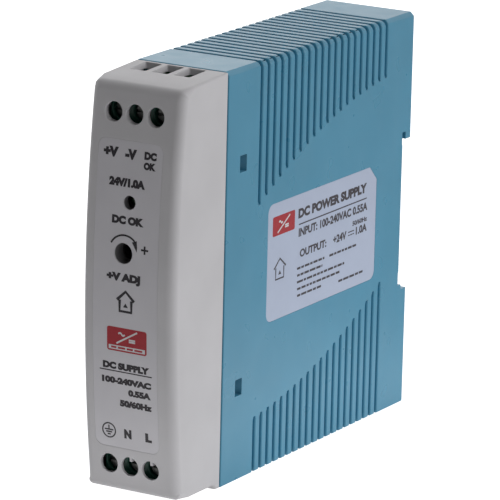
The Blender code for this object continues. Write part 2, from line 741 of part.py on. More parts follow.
def make_terminal_screws(material):
    slot_depth = 0.7 * MM
    slot_half = 0.3 * MM
    tip_y = BAR_Y[0] - GAP
    head_rear = SCREW_HEAD_FRONT_Y + SCREW_HEAD_DEPTH
    for group, number, x, side in poles():
        z = mirrored(POLE_Z, side)
        profile = (
            (0, SCREW_HEAD_FRONT_Y),
            (SCREW_HEAD_RADIUS - 0.35 * MM, SCREW_HEAD_FRONT_Y),
            (SCREW_HEAD_RADIUS, SCREW_HEAD_FRONT_Y + 0.35 * MM),
            (SCREW_HEAD_RADIUS, head_rear),
            (SCREW_SHAFT_RADIUS, head_rear),
            (SCREW_SHAFT_RADIUS, tip_y),
            (0, tip_y),
        )
        name = f"{group}_screw_{number}"
        origin = (x, SCREW_HEAD_FRONT_Y, z)
        screw = make_object(name, lathe(profile, (x, z), "y", 16), material, origin, smooth=True)
        across = (x - 2 * SCREW_HEAD_RADIUS, x + 2 * SCREW_HEAD_RADIUS)
        depth = (SCREW_HEAD_FRONT_Y - MM, SCREW_HEAD_FRONT_Y + slot_depth)
        slot = box(across, depth, (z - slot_half, z + slot_half))
        combine(screw, make_cutter(f"cut_{name}", slot))


def make_clamp_cages(material):
    for group, number, x, side in poles():
        z = mirrored(POLE_Z, side)
        height = (z - CAGE_HEIGHT / 2, z + CAGE_HEIGHT / 2)
        name = f"{group}_cage_{number}"
        origin = (x, CAGE_Y[0], z)
        cage = make_object(name, box((x - CAGE_HALF, x + CAGE_HALF), CAGE_Y, height), material, origin)
        inner = CAGE_HALF - CAGE_WALL
        inner_y = (CAGE_Y[0] + CAGE_FRONT_WALL, CAGE_Y[1] - CAGE_REAR_WALL)
        window = box((x - inner, x + inner), inner_y, (height[0] - MM, height[1] + MM))
        combine(cage, make_cutter(f"cut_{name}_window", window))
        thread = cylinder((x, z), "y", SCREW_SHAFT_RADIUS + GAP, CAGE_Y[0] - MM, inner_y[0] + MM, 16)
        combine(cage, make_cutter(f"cut_{name}_thread", thread))


def make_contact_bars(material):
    """L-shaped strips: one leg stands in the cage, the other passes through the front board."""
    foot_top = BAR_FOOT_Z + 1.0 * MM
    tail_y = FRONT_BOARD_Y + BOARD + 0.8 * MM
    for group, number, x, side in poles():
        outline = (
            (BAR_Y[0], BAR_FOOT_Z),
            (tail_y, BAR_FOOT_Z),
            (tail_y, foot_top),
            (BAR_Y[1], foot_top),
            (BAR_Y[1], POLE_Z + CAGE_HEIGHT / 2),
            (BAR_Y[0], POLE_Z + CAGE_HEIGHT / 2),
        )
        turned = [(y, mirrored(z, side)) for y, z in outline]
        bar = prism(turned, "x", x - BAR_HALF, x + BAR_HALF)
        make_object(f"{group}_contact_bar_{number}", bar, material)


def make_front_board(material):
    board_y = (FRONT_BOARD_Y, FRONT_BOARD_Y + BOARD)
    board = make_object("front_board", box((-8 * MM, 8 * MM), board_y, (4 * MM, 86 * MM)), material)
    bm = bmesh.new()
    reach = (FRONT_BOARD_Y - MM, FRONT_BOARD_Y + BOARD + MM)
    for _, _, x, side in poles():
        hole = mirrored_span((BAR_FOOT_Z - GAP, BAR_FOOT_Z + 1.0 * MM + GAP), side)
        add_box(bm, (x - BAR_HALF - GAP, x + BAR_HALF + GAP), reach, hole)
    combine(board, make_cutter("cut_front_board", bm))


def make_indicator(lens, plastic):
    """A small lamp held close behind the face by a hollow spacer."""
    rear = FRONT_BOARD_Y - GAP
    spacer_front = -42.5 * MM
    spacer = cylinder((LED_X, LED_Z), "y", 2.2 * MM, spacer_front, rear, 16)
    tube = make_object("led_spacer", spacer, plastic, smooth=True)
    bore = cylinder((LED_X, LED_Z), "y", 1.2 * MM, spacer_front - MM, rear + MM, 12)
    combine(tube, make_cutter("cut_led_spacer", bore))
    dome = 1.45 * MM
    dome_y = face_y(LED_Z, WALL) + GAP + dome
    profile = []
    for degrees in range(0, 91, 18):
        angle = math.radians(degrees)
        profile.append((dome * math.sin(angle), dome_y - dome * math.cos(angle)))
    flange = 1.9 * MM
    seat = spacer_front - GAP
    shoulder = seat - 0.8 * MM
    profile += [(dome, shoulder), (flange, shoulder), (flange, seat), (0, seat)]
    make_object("status_led", lathe(profile, (LED_X, LED_Z), "y", 16), lens, smooth=True)


def make_trimmer(plastic, rotor_material):
    """A preset resistor: square body with a slotted rotor in its front."""
    body_half = 3.3 * MM
    rear = FRONT_BOARD_Y - GAP
    front = -36.0 * MM
    across = (TRIMMER_X - body_half, TRIMMER_X + body_half)
    upright = (TRIMMER_Z - body_half, TRIMMER_Z + body_half)
    body = make_object("trimmer_body", box(across, (front, rear), upright), plastic)
    centre = (TRIMMER_X, TRIMMER_Z)
    well_end = -33.4 * MM
    well = cylinder(centre, "y", TRIMMER_ROTOR_RADIUS + 0.2 * MM, front - MM, well_end, 16)
    combine(body, make_cutter("cut_trimmer_well", well))
    face = front - 0.7 * MM
    turned = cylinder(centre, "y", TRIMMER_ROTOR_RADIUS, face, well_end - GAP, 16)
    origin = (TRIMMER_X, face, TRIMMER_Z)
    rotor = make_object("trimmer_rotor", turned, rotor_material, origin, smooth=True)
    slot_x = (TRIMMER_X - 1.3 * MM, TRIMMER_X + 1.3 * MM)
    slot_z = (TRIMMER_Z - 0.3 * MM, TRIMMER_Z + 0.3 * MM)
    slot = box(slot_x, (face - MM, face + 0.6 * MM), slot_z)
    combine(rotor, make_cutter("cut_trimmer_slot", slot))


def make_main_board(material, film):
    board_x = (MAIN_BOARD_X, MAIN_BOARD_X + BOARD)
    make_object("main_board", box(board_x, (-28.4 * MM, 42.4 * MM), (2.3 * MM, 87.7 * MM)), material)
    film_x = (-9.05 * MM, -8.75 * MM)
    make_object("insulation_film", box(film_x, (-20.5 * MM, 42.0 * MM), (3.0 * MM, 87.0 * MM)), film)


def make_board_link(material):
    """Angled header between the two boards, with a comb of pin wells."""
    x = (PART_SIDE_X, PART_SIDE_X + 2.6 * MM)
    y = (FRONT_BOARD_Y + BOARD + GAP, -24.6 * MM)
    z = (34 * MM, 50 * MM)
    header = make_object("board_link_header", box(x, y, z), material)
    bm = bmesh.new()
    wells = 6
    well_half = 0.7 * MM
    well_x = (x[1] - 1.2 * MM, x[1] + MM)
    well_y = (y[0] + 0.8 * MM, y[1] - 0.8 * MM)
    for index in range(wells):
        centre = z[0] + (index + 0.5) * (z[1] - z[0]) / wells
        add_box(bm, well_x, well_y, (centre - well_half, centre + well_half))
    combine(header, make_cutter("cut_board_link", bm))


def make_drum(name, y, z, radius, height, material, sides=20):
    """A round part standing on the main board."""
    crown = 0.5 * MM
    top = PART_SIDE_X + height
    profile = (
        (0, PART_SIDE_X),
        (radius, PART_SIDE_X),
        (radius, top - crown),
        (radius - crown, top),
        (0, top),
    )
    make_object(name, lathe(profile, (y, z), "x", sides), material, smooth=True)


def make_disc(name, y, z, radius, thickness, material):
    """A coated disc standing edge-on on the main board."""
    x = PART_SIDE_X + radius
    half = thickness / 2
    rim = 0.7 * radius
    profile = (
        (0, z - half),
        (rim, z - half),
        (radius, z - half / 2),
        (radius, z + half / 2),
        (rim, z + half),
        (0, z + half),
    )
    make_object(name, lathe(profile, (x, y), "z", 16), material, smooth=True)


def make_block(name, y, z, height, material):
    """A moulded box part on the main board."""
    make_object(name, box((PART_SIDE_X, PART_SIDE_X + height), y, z), material)


def make_choke(ferrite, copper):
    """Common-mode choke: a closed ferrite frame with a winding on each long leg."""
    y = (-12.5 * MM, -0.5 * MM)
    z = (22 * MM, 38 * MM)
    leg = 3.0 * MM
    mid_x = PART_SIDE_X + 5.6 * MM
    span = (mid_x - leg / 2, mid_x + leg / 2)
    core = make_object("choke_core", box(span, y, z), ferrite)
    inner_y = (y[0] + leg, y[1] - leg)
    inner_z = (z[0] + leg, z[1] - leg)
    window = box((span[0] - MM, span[1] + MM), inner_y, inner_z)
    combine(core, make_cutter("cut_choke_core", window))
    build = 2.4 * MM
    for number, leg_y in enumerate(((y[0], y[0] + leg), (y[1] - leg, y[1])), 1):
        bore_y = (leg_y[0] - GAP, leg_y[1] + GAP)
        outer_y = (bore_y[0] - build, bore_y[1] + build)
        outer_x = (span[0] - build, span[1] + build)
        outer_z = (inner_z[0] + GAP, inner_z[1] - GAP)
        coil = make_object(f"choke_winding_{number}", box(outer_x, outer_y, outer_z), copper)
        bore = box((span[0] - GAP, span[1] + GAP), bore_y, (outer_z[0] - MM, outer_z[1] + MM))
        combine(coil, make_cutter(f"cut_choke_winding_{number}", bore))


def make_transformer(ferrite, plastic, copper):
    """Flyback transformer: ferrite frame with a centre leg, bobbin round the leg, wire on the bobbin."""
    y = (4 * MM, 26 * MM)
    z = (24 * MM, 46 * MM)
    mid_x = PART_SIDE_X + 6.9 * MM
    half = 3.0 * MM
    rail = 3.0 * MM
    centre_y = (y[0] + y[1]) / 2
    core = make_object("transformer_core", box((mid_x - half, mid_x + half), y, z), ferrite)
    bm = bmesh.new()
    inner_z = (z[0] + rail, z[1] - rail)
    for span in ((y[0] + rail, centre_y - half), (centre_y + half, y[1] - rail)):
        add_box(bm, (mid_x - half - MM, mid_x + half + MM), span, inner_z)
    combine(core, make_cutter("cut_transformer_core", bm))
    bore = half + GAP
    tube = bore + 0.8 * MM
    flange = half + 3.6 * MM
    reach = flange - MM + 0.6 * MM
    height = (inner_z[0] + GAP, inner_z[1] - GAP)
    lip = 1.0 * MM

    def around(x_half, y_half, span):
        return box((mid_x - x_half, mid_x + x_half), (centre_y - y_half, centre_y + y_half), span)

    bobbin = make_object("transformer_bobbin", around(flange, flange, height), plastic)
    waist = bmesh.new()
    spool = (height[0] + lip, height[1] - lip)
    across = (centre_y - flange - MM, centre_y + flange + MM)
    for side in (-1, 1):
        outer = sorted((side * tube, side * (flange + MM)))
        add_box(waist, (mid_x + outer[0], mid_x + outer[1]), across, spool)
        add_box(waist, (mid_x - tube, mid_x + tube), (centre_y + outer[0], centre_y + outer[1]), spool)
    combine(bobbin, make_cutter("cut_bobbin_waist", waist))
    bobbin.modifiers[-1].use_self = True
    hole = around(bore, bore, (height[0] - MM, height[1] + MM))
    combine(bobbin, make_cutter("cut_bobbin_bore", hole))
    coil_span = (height[0] + lip + GAP, height[1] - lip - GAP)
    coil = make_object("transformer_winding", around(reach, reach, coil_span), copper)
    inside = around(tube + GAP, tube + GAP, (coil_span[0] - MM, coil_span[1] + MM))
    combine(coil, make_cutter("cut_transformer_winding", inside))


def make_power_stage(name, sink_name, screw_name, y, z, materials):
    """A transistor-shaped device screwed to a bent aluminium plate."""
    case_material, sink_material, screw_material = materials
    plate = 1.5 * MM
    depth = 9.0 * MM
    top_x = 7.6 * MM
    outline = (
        (y, z),
        (y + depth, z),
        (y + depth, z + plate),
        (y + plate, z + plate),
        (y + plate, z + HEATSINK_HEIGHT),
        (y, z + HEATSINK_HEIGHT),
    )
    sink = make_object(sink_name, prism(outline, "x", PART_SIDE_X, top_x), sink_material)
    case_x = (PART_SIDE_X + 1.5 * MM, 6.8 * MM)
    case_y = (y + plate + GAP, y + plate + GAP + 4.4 * MM)
    case_z = (z + 6 * MM, z + 16 * MM)
    case = make_object(name, box(case_x, case_y, case_z), case_material)
    hole = (4.6 * MM, z + 11 * MM)
    shank = 1.4 * MM
    drill = cylinder(hole, "y", shank + GAP, y - MM, case_y[1] + MM, 12)
    cutter = make_cutter(f"cut_{name}", drill)
    combine(case, cutter)
    combine(sink, cutter)
    tip = y + 0.2 * MM
    head_radius = 2.5 * MM
    head = case_y[1] + GAP
    head_end = head + 1.2 * MM
    profile = (
        (0, tip),
        (shank, tip),
        (shank, head),
        (head_radius, head),
        (head_radius, head_end),
        (0, head_end),
    )
    make_object(screw_name, lathe(profile, hole, "y", 12), screw_material, smooth=True)


def make_resistor(name, y, z, radius, length, material):
    """An axial resistor lying on the main board along Z, with slightly bulged ends."""
    x = PART_SIDE_X + radius
    end = 0.25 * length
    waist = 0.85 * radius
    top = z + length
    profile = (
        (0, z),
        (radius, z),
        (radius, z + end),
        (waist, z + 1.2 * end),
        (waist, top - 1.2 * end),
        (radius, top - end),
        (radius, top),
        (0, top),
    )
    make_object(name, lathe(profile, (x, y), "z", 12), material, smooth=True)


def make_electronics():
    """What turns mains into 24 V: mains parts low, the transformer in the middle, output parts high."""
    ferrite = make_material("ferrite", (0.05, 0.05, 0.055), 0.6)
    copper = make_material("enamelled_copper", (0.45, 0.16, 0.06), 0.35, 0.7)
    tape = make_material("winding_tape", (0.65, 0.45, 0.05), 0.4)
    black = make_material("black_resin", (0.02, 0.02, 0.022), 0.5)
    film_box = make_material("capacitor_box", (0.75, 0.62, 0.08), 0.45)
    sleeve = make_material("capacitor_sleeve", (0.03, 0.04, 0.09), 0.35)
    blue = make_material("blue_coating", (0.03, 0.14, 0.45), 0.4)
    green = make_material("green_coating", (0.05, 0.20, 0.10), 0.45)
    brown = make_material("resistor_coating", (0.30, 0.42, 0.45), 0.5)
    aluminium = make_material("aluminium_sheet", (0.75, 0.75, 0.76), 0.35, 1.0)
    steel = make_material("plated_steel", (0.70, 0.70, 0.68), 0.3, 1.0)

    make_drum("mains_fuse", -20.5 * MM, 9.5 * MM, 4.2 * MM, 8.0 * MM, black)
    make_disc("varistor", -20.5 * MM, 18.5 * MM, 4.5 * MM, 4.0 * MM, blue)
    make_disc("inrush_thermistor", -20.5 * MM, 26.5 * MM, 4.5 * MM, 4.4 * MM, green)
    make_block("x2_capacitor", (-13 * MM, -6 * MM), (4.5 * MM, 18 * MM), 12.5 * MM, film_box)
    make_choke(ferrite, copper)
    make_block("bridge_rectifier", (-3.5 * MM, 5 * MM), (5 * MM, 12 * MM), 3.2 * MM, black)
    radius = 6.2 * MM
    start, end, crown = 9.5 * MM, 36 * MM, 0.6 * MM
    can = ((0, start), (radius, start), (radius, end - crown), (radius - crown, end), (0, end))
    centre = (PART_SIDE_X + radius, 12 * MM)
    make_object("bulk_capacitor", lathe(can, centre, "y", 24), sleeve, smooth=True)
    make_transformer(ferrite, black, tape)
    stage = (black, aluminium, steel)
    sink_y = 30 * MM
    primary = ("switching_transistor", "primary_heatsink", "primary_heatsink_screw")
    make_power_stage(*primary, sink_y, 24 * MM, stage)
    make_block("controller_chip", (-15 * MM, -9 * MM), (45 * MM, 55 * MM), 3.4 * MM, black)
    make_resistor("sense_resistor", -3.5 * MM, 42 * MM, 1.9 * MM, 11 * MM, brown)
    make_block("optocoupler", (-4.5 * MM, 2.5 * MM), (56.5 * MM, 61.5 * MM), 3.6 * MM, black)
    make_disc("y_capacitor", 15 * MM, 52 * MM, 4.2 * MM, 4.0 * MM, blue)
    secondary = ("output_rectifier", "secondary_heatsink", "secondary_heatsink_screw")
    make_power_stage(*secondary, sink_y, 52 * MM, stage)
    make_drum("output_capacitor_1", 22 * MM, 64 * MM, 5.0 * MM, 13.0 * MM, sleeve, 24)
    make_drum("output_capacitor_2", 10 * MM, 66 * MM, 5.0 * MM, 13.0 * MM, sleeve, 24)
    make_drum("output_inductor", -2.5 * MM, 72 * MM, 4.6 * MM, 10.0 * MM, ferrite)


def main():
    clear_scene()
    cover_plastic = make_material("light_grey_plastic", (0.62, 0.62, 0.64), 0.45)
    housing_plastic = make_material("teal_plastic", (0.10, 0.27, 0.38), 0.5)
    label_film = make_material("label_film", (0.66, 0.68, 0.72), 0.4)
    terminal_plastic = make_material("green_plastic", (0.02, 0.22, 0.12), 0.45)
    steel = make_material("zinc_plated_steel", (0.62, 0.62, 0.60), 0.35, 1.0)
    tin = make_material("tinned_copper", (0.72, 0.70, 0.66), 0.3, 1.0)
    spring_steel = make_material("spring_steel", (0.50, 0.50, 0.50), 0.3, 1.0)
    laminate = make_material("board_laminate", (0.10, 0.28, 0.10), 0.5)
    black = make_material("black_plastic", (0.02, 0.02, 0.02), 0.5)
    lens = make_material("lamp_lens", (0.12, 0.40, 0.14), 0.15)
    dark = make_material("rotor_plastic", (0.06, 0.06, 0.06), 0.5)
    blue = make_material("trimmer_plastic", (0.05, 0.18, 0.45), 0.45)
    film = make_material("insulating_film", (0.55, 0.55, 0.50), 0.3)

    make_housing(housing_plastic)
    make_front_cover(cover_plastic)
    make_front_label(label_film)
    make_side_label(label_film)
    make_latch(black)
    make_latch_spring(spring_steel)
    make_terminal_blocks(terminal_plastic)
    make_terminal_screws(steel)
    make_clamp_cages(steel)
    make_contact_bars(tin)
    make_front_board(laminate)
    make_indicator(lens, black)
    make_trimmer(blue, dark)
    make_main_board(laminate, film)
    make_board_link(black)
    make_electronics()


main()
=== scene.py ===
"""Looks of the slim rail-mounted power supply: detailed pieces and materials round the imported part.

Frame: metres, X across the width, Y from the front face to the rail, Z up from the base.
"""

import json
import math
import random

import bmesh
import bpy
from mathutils import Matrix, Vector

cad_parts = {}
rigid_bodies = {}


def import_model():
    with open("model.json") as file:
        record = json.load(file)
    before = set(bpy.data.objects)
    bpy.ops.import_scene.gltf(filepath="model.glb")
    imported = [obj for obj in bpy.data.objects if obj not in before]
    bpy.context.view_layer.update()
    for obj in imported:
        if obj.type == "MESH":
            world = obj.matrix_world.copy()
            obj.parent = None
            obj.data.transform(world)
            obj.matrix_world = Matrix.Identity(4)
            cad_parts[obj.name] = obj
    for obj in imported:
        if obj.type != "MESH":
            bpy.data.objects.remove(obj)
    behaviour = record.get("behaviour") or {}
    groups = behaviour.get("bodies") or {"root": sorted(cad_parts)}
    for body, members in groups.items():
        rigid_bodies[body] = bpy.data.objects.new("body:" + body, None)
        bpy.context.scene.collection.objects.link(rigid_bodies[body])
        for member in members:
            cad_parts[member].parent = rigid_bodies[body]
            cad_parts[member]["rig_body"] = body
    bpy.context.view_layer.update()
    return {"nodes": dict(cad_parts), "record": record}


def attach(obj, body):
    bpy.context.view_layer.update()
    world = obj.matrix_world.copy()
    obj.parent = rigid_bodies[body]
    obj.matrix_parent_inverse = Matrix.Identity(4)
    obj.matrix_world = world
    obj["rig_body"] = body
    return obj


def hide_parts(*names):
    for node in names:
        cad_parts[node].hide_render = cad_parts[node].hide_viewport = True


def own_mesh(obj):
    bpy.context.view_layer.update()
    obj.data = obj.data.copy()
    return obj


for startup_object in list(bpy.data.objects):
    bpy.data.objects.remove(startup_object, do_unlink=True)
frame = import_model()

MM = 0.001

# Overall envelope
HALF_WIDTH = 11.25 * MM
FRONT_Y = -50 * MM
REAR_Y = 50 * MM
HEIGHT = 90 * MM
MID_Z = HEIGHT / 2

# Moulded shells
WALL = 1.8 * MM
COVER_REAR_Y = -29.85 * MM
HOUSING_FRONT_Y = -29.55 * MM
INNER_HALF_WIDTH = 9.45 * MM
CAVITY_REAR_Y = 42.8 * MM
BOARD_RIB_X = (-6.0 * MM, -5.1 * MM)
BOARD_RIB_Y = (-24 * MM, 40 * MM)
BOARD_RIB_Z = (86.3 * MM, 88.8 * MM)

# Bowed front face
FACE_RADIUS = 315 * MM
FACE_CENTRE_Z = 46.5 * MM
FACE_TOP_Z = 87.0 * MM
FACE_BOTTOM_Z = 2.6 * MM
FACE_STEPS = 36
FACE_FRONT_Y = -49.996 * MM
COVER_CEILING_Z = 86.8 * MM
COVER_ROOF_Z = 88.6 * MM
COVER_ROOF_FRONT_Y = -41.0 * MM
FOOT_RECESS = 1.1 * MM
SEAM_ROUND = 0.4 * MM
COVER_FRONT_ROUND = 2.0 * MM
COVER_UPPER_ROUND = 0.8 * MM
COVER_LOWER_ROUND = 0.6 * MM

# Cooling grooves in the two corner fields
GROOVES = 20
GROOVE_PITCH = 2.826 * MM
GROOVE_FIRST_Y = -16.0 * MM
GROOVE_HALF = 0.44 * MM
GROOVE_DEPTH = 0.9 * MM
GROOVE_LIP = 0.36 * MM
GROOVE_END_CURVE = (12.5, 0.1118, 0.004206)
GROOVE_RUN_OUT = ((0.0, 1.1), (0.1, 0.68), (0.26, 0.36), (0.5, 0.12), (0.85, 0.0))
UPPER_GROOVE_EXTRA = 0.4 * MM

# Snap windows and the lugs that show in them
SNAP_Z = (20.6 * MM, 69.4 * MM)
SNAP_WINDOW_HALF = 1.825 * MM
SNAP_WINDOW_Y = (-24.4 * MM, -21.65 * MM)
SNAP_GAP = 0.3 * MM
ARM_X = (8.3 * MM, 9.15 * MM)
ARM_Y = (-34.0 * MM, -21.3 * MM)
ARM_ROOT_REAR_Y = -30.0 * MM
LUG_X = 10.35 * MM
LUG_FRONT_Y = -23.9 * MM
LUG_RAMP_Y = (-23.3 * MM, -21.95 * MM)

# Rail side
RAIL_FACE_Y = 46.4 * MM
RELIEF_Y = 46.2 * MM
HOOK_BOTTOM_Z = 61.5 * MM
HOOK_SLOT_TOP_Z = 63.2 * MM
HOOK_INNER_Y = 47.7 * MM
RAIL_LEDGE_Z = 27.9 * MM
LEDGE_LIP_Z = 26.8 * MM
LEDGE_LIP_Y = 47.6 * MM
SEAT_Z = (31.0 * MM, 60.3 * MM)
LATCH_FLANGE_HALF = 8.5 * MM
LATCH_WEB_HALF = 6.8 * MM
LATCH_GUIDE_Y = (44.6 * MM, 46.9 * MM)
LATCH_GUIDE_TOP_Z = 26.4 * MM
LATCH_MOUTH_Y = 46.3 * MM
SPRING_Z = (10.4 * MM, 20.4 * MM)
SPRING_Y = 47.1 * MM
SPRING_RADIUS = 1.5 * MM
SPRING_WIRE = 0.22 * MM

# Labels
LABEL_DEPTH = 0.35 * MM
LABEL_TOP = 0.025 * MM
LABEL_THICKNESS = 0.2 * MM
LABEL_MARGIN = 0.03 * MM
PRINT_TOP = 0.01 * MM
PRINT_BOTTOM = 0.07 * MM
FRONT_LABEL_X = (-8.4 * MM, 7.3 * MM)
FRONT_LABEL_Z = (11.1 * MM, 77.3 * MM)
FRONT_LABEL_CORNER = 1.8 * MM
SIDE_LABEL_Y = (-12.1 * MM, 35.0 * MM)
SIDE_LABEL_Z = (32.1 * MM, 58.0 * MM)
SIDE_LABEL_CORNER = 2.0 * MM
SIDE_LABEL_CUT = 3.2 * MM

# Terminals
POLE_PITCH = 5.08 * MM
POLE_X = tuple(-0.25 * MM + step * POLE_PITCH for step in (-1, 0, 1))
POLE_Z = 82.8 * MM
SCREW_HOLE_RADIUS = 2.08 * MM
TOOTH_X = (0.1 * MM, 0.66 * MM)
TOOTH_DEPTH = 0.95 * MM
SCREW_POCKET_X = (-8.0 * MM, 7.5 * MM)
SCREW_POCKET_Y = (-46.7 * MM, -44.0 * MM)
SCREW_POCKET_Z = (80.4 * MM, 85.2 * MM)
SCREW_FRONT_Y = -44.3 * MM
SCREW_HEAD_RADIUS = 1.85 * MM
SCREW_HEAD_DEPTH = 1.6 * MM
SCREW_SHAFT_RADIUS = 1.1 * MM
SCREW_TIP_Y = -38.3 * MM
THREAD_PITCH = 0.45 * MM
THREAD_DEPTH = 0.16 * MM
THREAD_STEPS = 6
SLOT_HALF = 0.3 * MM
SCREW_SLOT_DEPTH = 0.7 * MM
BLOCK_Y = (-44.9 * MM, -31.0 * MM)
BLOCK_Z = (76.0 * MM, 86.5 * MM)
FUNNEL_X = tuple(-0.95 * MM + step * 5.35 * MM for step in (-1, 0, 1))
FUNNEL_Y = (-37.5 * MM, -31.0 * MM)
FUNNEL_HALF = 2.0 * MM
FUNNEL_END_Y = (-37.3 * MM, -31.4 * MM)
FUNNEL_END_HALF = 1.8 * MM
WIRE_HOLE_Y = (-37.4 * MM, -34.1 * MM)
WIRE_HOLE_HALF = 1.35 * MM
BLOCK_CHAMFER = 1.5 * MM
BLOCK_BORE_RADIUS = SCREW_HOLE_RADIUS - 0.02 * MM
BLOCK_BORE_MOUTH = 1.15 * MM
BLOCK_BORE_END_Y = -42.4 * MM
CAVITY_HALF = 2.15 * MM
CAVITY_FRONT_Y = -42.9 * MM
CAVITY_Z = (77.3 * MM, 85.7 * MM)
WIRE_HOLE_INNER_Z = 85.4 * MM
POLE_NAMES = {"output": ("positive", "negative", "dc_ok"), "input": ("earth", "neutral", "line")}

# Indicator and output adjuster
LED_X = -0.15 * MM
LED_Z = 64.5 * MM
LED_HOLE_RADIUS = 1.4 * MM
TRIMMER_X = -1.2 * MM
TRIMMER_Z = 53.65 * MM
TRIMMER_HOLE_RADIUS = 2.15 * MM
TRIMMER_COLLAR_RADIUS = 3.0 * MM
TRIMMER_COLLAR_END_Y = -46.3 * MM
ROTOR_RADIUS = 1.7 * MM
ROTOR_FACE_Y = -36.7 * MM
ROTOR_REAR_Y = -33.7 * MM
ROTOR_SLOT_HALF_LENGTH = 1.3 * MM
ROTOR_SLOT_DEPTH = 0.6 * MM
LAMP_RADIUS = 1.45 * MM
LAMP_FLANGE_RADIUS = 1.9 * MM
LAMP_FLANGE_Y = (-43.6 * MM, -42.8 * MM)

# Beyond a surface, so that a cut goes right through it
BEYOND = 1 * MM

# Shading
SMOOTH_ANGLE = math.radians(32)
CARRIED_SMOOTH_ANGLE = math.radians(35)
BEVEL_ANGLE = math.radians(35)
TURNED_SIDES = 48

# Camera, set up for the product view
CAMERA_YAW = math.radians(30.489)
CAMERA_PITCH = math.radians(14.423)
CAMERA_ROLL = math.radians(1.352)
CAMERA_TARGET = Vector((-0.000227, 0.0, 0.04412))
CAMERA_DISTANCE = 0.9487
CAMERA_LENS = 315.8


# Mesh helpers


def new_object(name, bm, material=None):
    """Turns a bmesh into an object whose faces shade smoothly across blunt edges."""
    bmesh.ops.recalc_face_normals(bm, faces=bm.faces)
    mesh = bpy.data.meshes.new(name)
    bm.to_mesh(mesh)
    bm.free()
    mesh.shade_smooth()
    mesh.set_sharp_from_angle(angle=SMOOTH_ANGLE)
    obj = bpy.data.objects.new(name, mesh)
    bpy.context.scene.collection.objects.link(obj)
    if material:
        mesh.materials.append(material)
    return obj


def bake_modifiers(obj):
    """Makes the evaluated mesh the object's own mesh and drops its modifiers."""
    graph = bpy.context.evaluated_depsgraph_get()
    mesh = bpy.data.meshes.new_from_object(obj.evaluated_get(graph))
    old = obj.data
    obj.modifiers.clear()
    obj.data = mesh
    bpy.data.meshes.remove(old)


def carve(target, tool, operation="DIFFERENCE"):
    modifier = target.modifiers.new("carve", "BOOLEAN")
    modifier.operation = operation
    modifier.solver = "EXACT"
    modifier.object = tool
    bake_modifiers(target)
    bpy.data.objects.remove(tool)


def merge_doubles(mesh, distance, *, flatten=False):
    """Merges points closer than distance, and joins coplanar faces if flatten is set."""
    bm = bmesh.new()
    bm.from_mesh(mesh)
    bmesh.ops.remove_doubles(bm, verts=bm.verts, dist=distance)
    if flatten:
        bmesh.ops.dissolve_limit(bm, angle_limit=math.radians(1), verts=bm.verts, edges=bm.edges)
    else:
        bmesh.ops.dissolve_degenerate(bm, dist=distance, edges=bm.edges)
    bm.to_mesh(mesh)
    bm.free()


def settle_shading(obj):
    """Sharp edges by angle and normals weighted by face area, so that large flats stay flat."""
    merge_doubles(obj.data, 1e-7)
    obj.data.shade_smooth()
    obj.data.set_sharp_from_angle(angle=SMOOTH_ANGLE)
    modifier = obj.modifiers.new("weighted", "WEIGHTED_NORMAL")
    modifier.keep_sharp = True
    modifier.weight = 100
    bake_modifiers(obj)


def soften(obj, width):
    """Rounds every sharp edge."""
    modifier = obj.modifiers.new("soften", "BEVEL")
    modifier.width = width
    modifier.segments = 2
    modifier.limit_method = "ANGLE"
    modifier.angle_limit = BEVEL_ANGLE
    modifier.miter_outer = "MITER_ARC"
    bake_modifiers(obj)


def add_box(bm, x, y, z):
    size = Vector((x[1] - x[0], y[1] - y[0], z[1] - z[0]))
    centre = Vector((x[0] + x[1], y[0] + y[1], z[0] + z[1])) / 2
    matrix = Matrix.Translation(centre) @ Matrix.Diagonal((*size, 1))
    bmesh.ops.create_cube(bm, size=1, matrix=matrix)


def place_on(axis, point, along):
    """The 3-D point for a 2-D point in the plane across axis (in X, Y, Z order)."""
    point = list(point)
    point.insert("xyz".index(axis), along)
    return point


def add_loft(bm, rings):
    """A closed body through rings of points."""
    bridge(bm, [[bm.verts.new(point) for point in ring] for ring in rings], closed=True)


def add_prism(bm, outline, axis, low, high):
    """A body of constant section, from low to high along the axis."""
    add_loft(bm, [[place_on(axis, point, along) for point in outline] for along in (low, high)])


def box_tool(*boxes):
    """A cutter made of boxes, each given by its three spans."""
    bm = bmesh.new()
    for box in boxes:
        add_box(bm, *box)
    return new_object("tool", bm)


def prism_tool(outline, axis, low, high):
    """A cutter of constant section, from low to high along the axis."""
    bm = bmesh.new()
    add_prism(bm, outline, axis, low, high)
    return new_object("tool", bm)


def around(span, grow):
    """The span made longer at both ends."""
    return span[0] - grow, span[1] + grow


def about(middle, half):
    """The span that reaches half to either side of middle."""
    return middle - half, middle + half


def quarter_turn(steps, start=0):
    """The cosine and sine at even steps through 90 degrees."""
    for step in range(steps + 1):
        angle = math.radians(start + 90 * step / steps)
        yield math.cos(angle), math.sin(angle)


def bridge(bm, rings, closed=False):
    """Quads between neighbouring rings of equal length; closed adds both end faces."""
    for first, second in zip(rings, rings[1:]):
        count = len(first)
        for index in range(count):
            after = (index + 1) % count
            bm.faces.new((first[index], first[after], second[after], second[index]))
    if closed:
        bm.faces.new(rings[0])
        bm.faces.new(rings[-1])


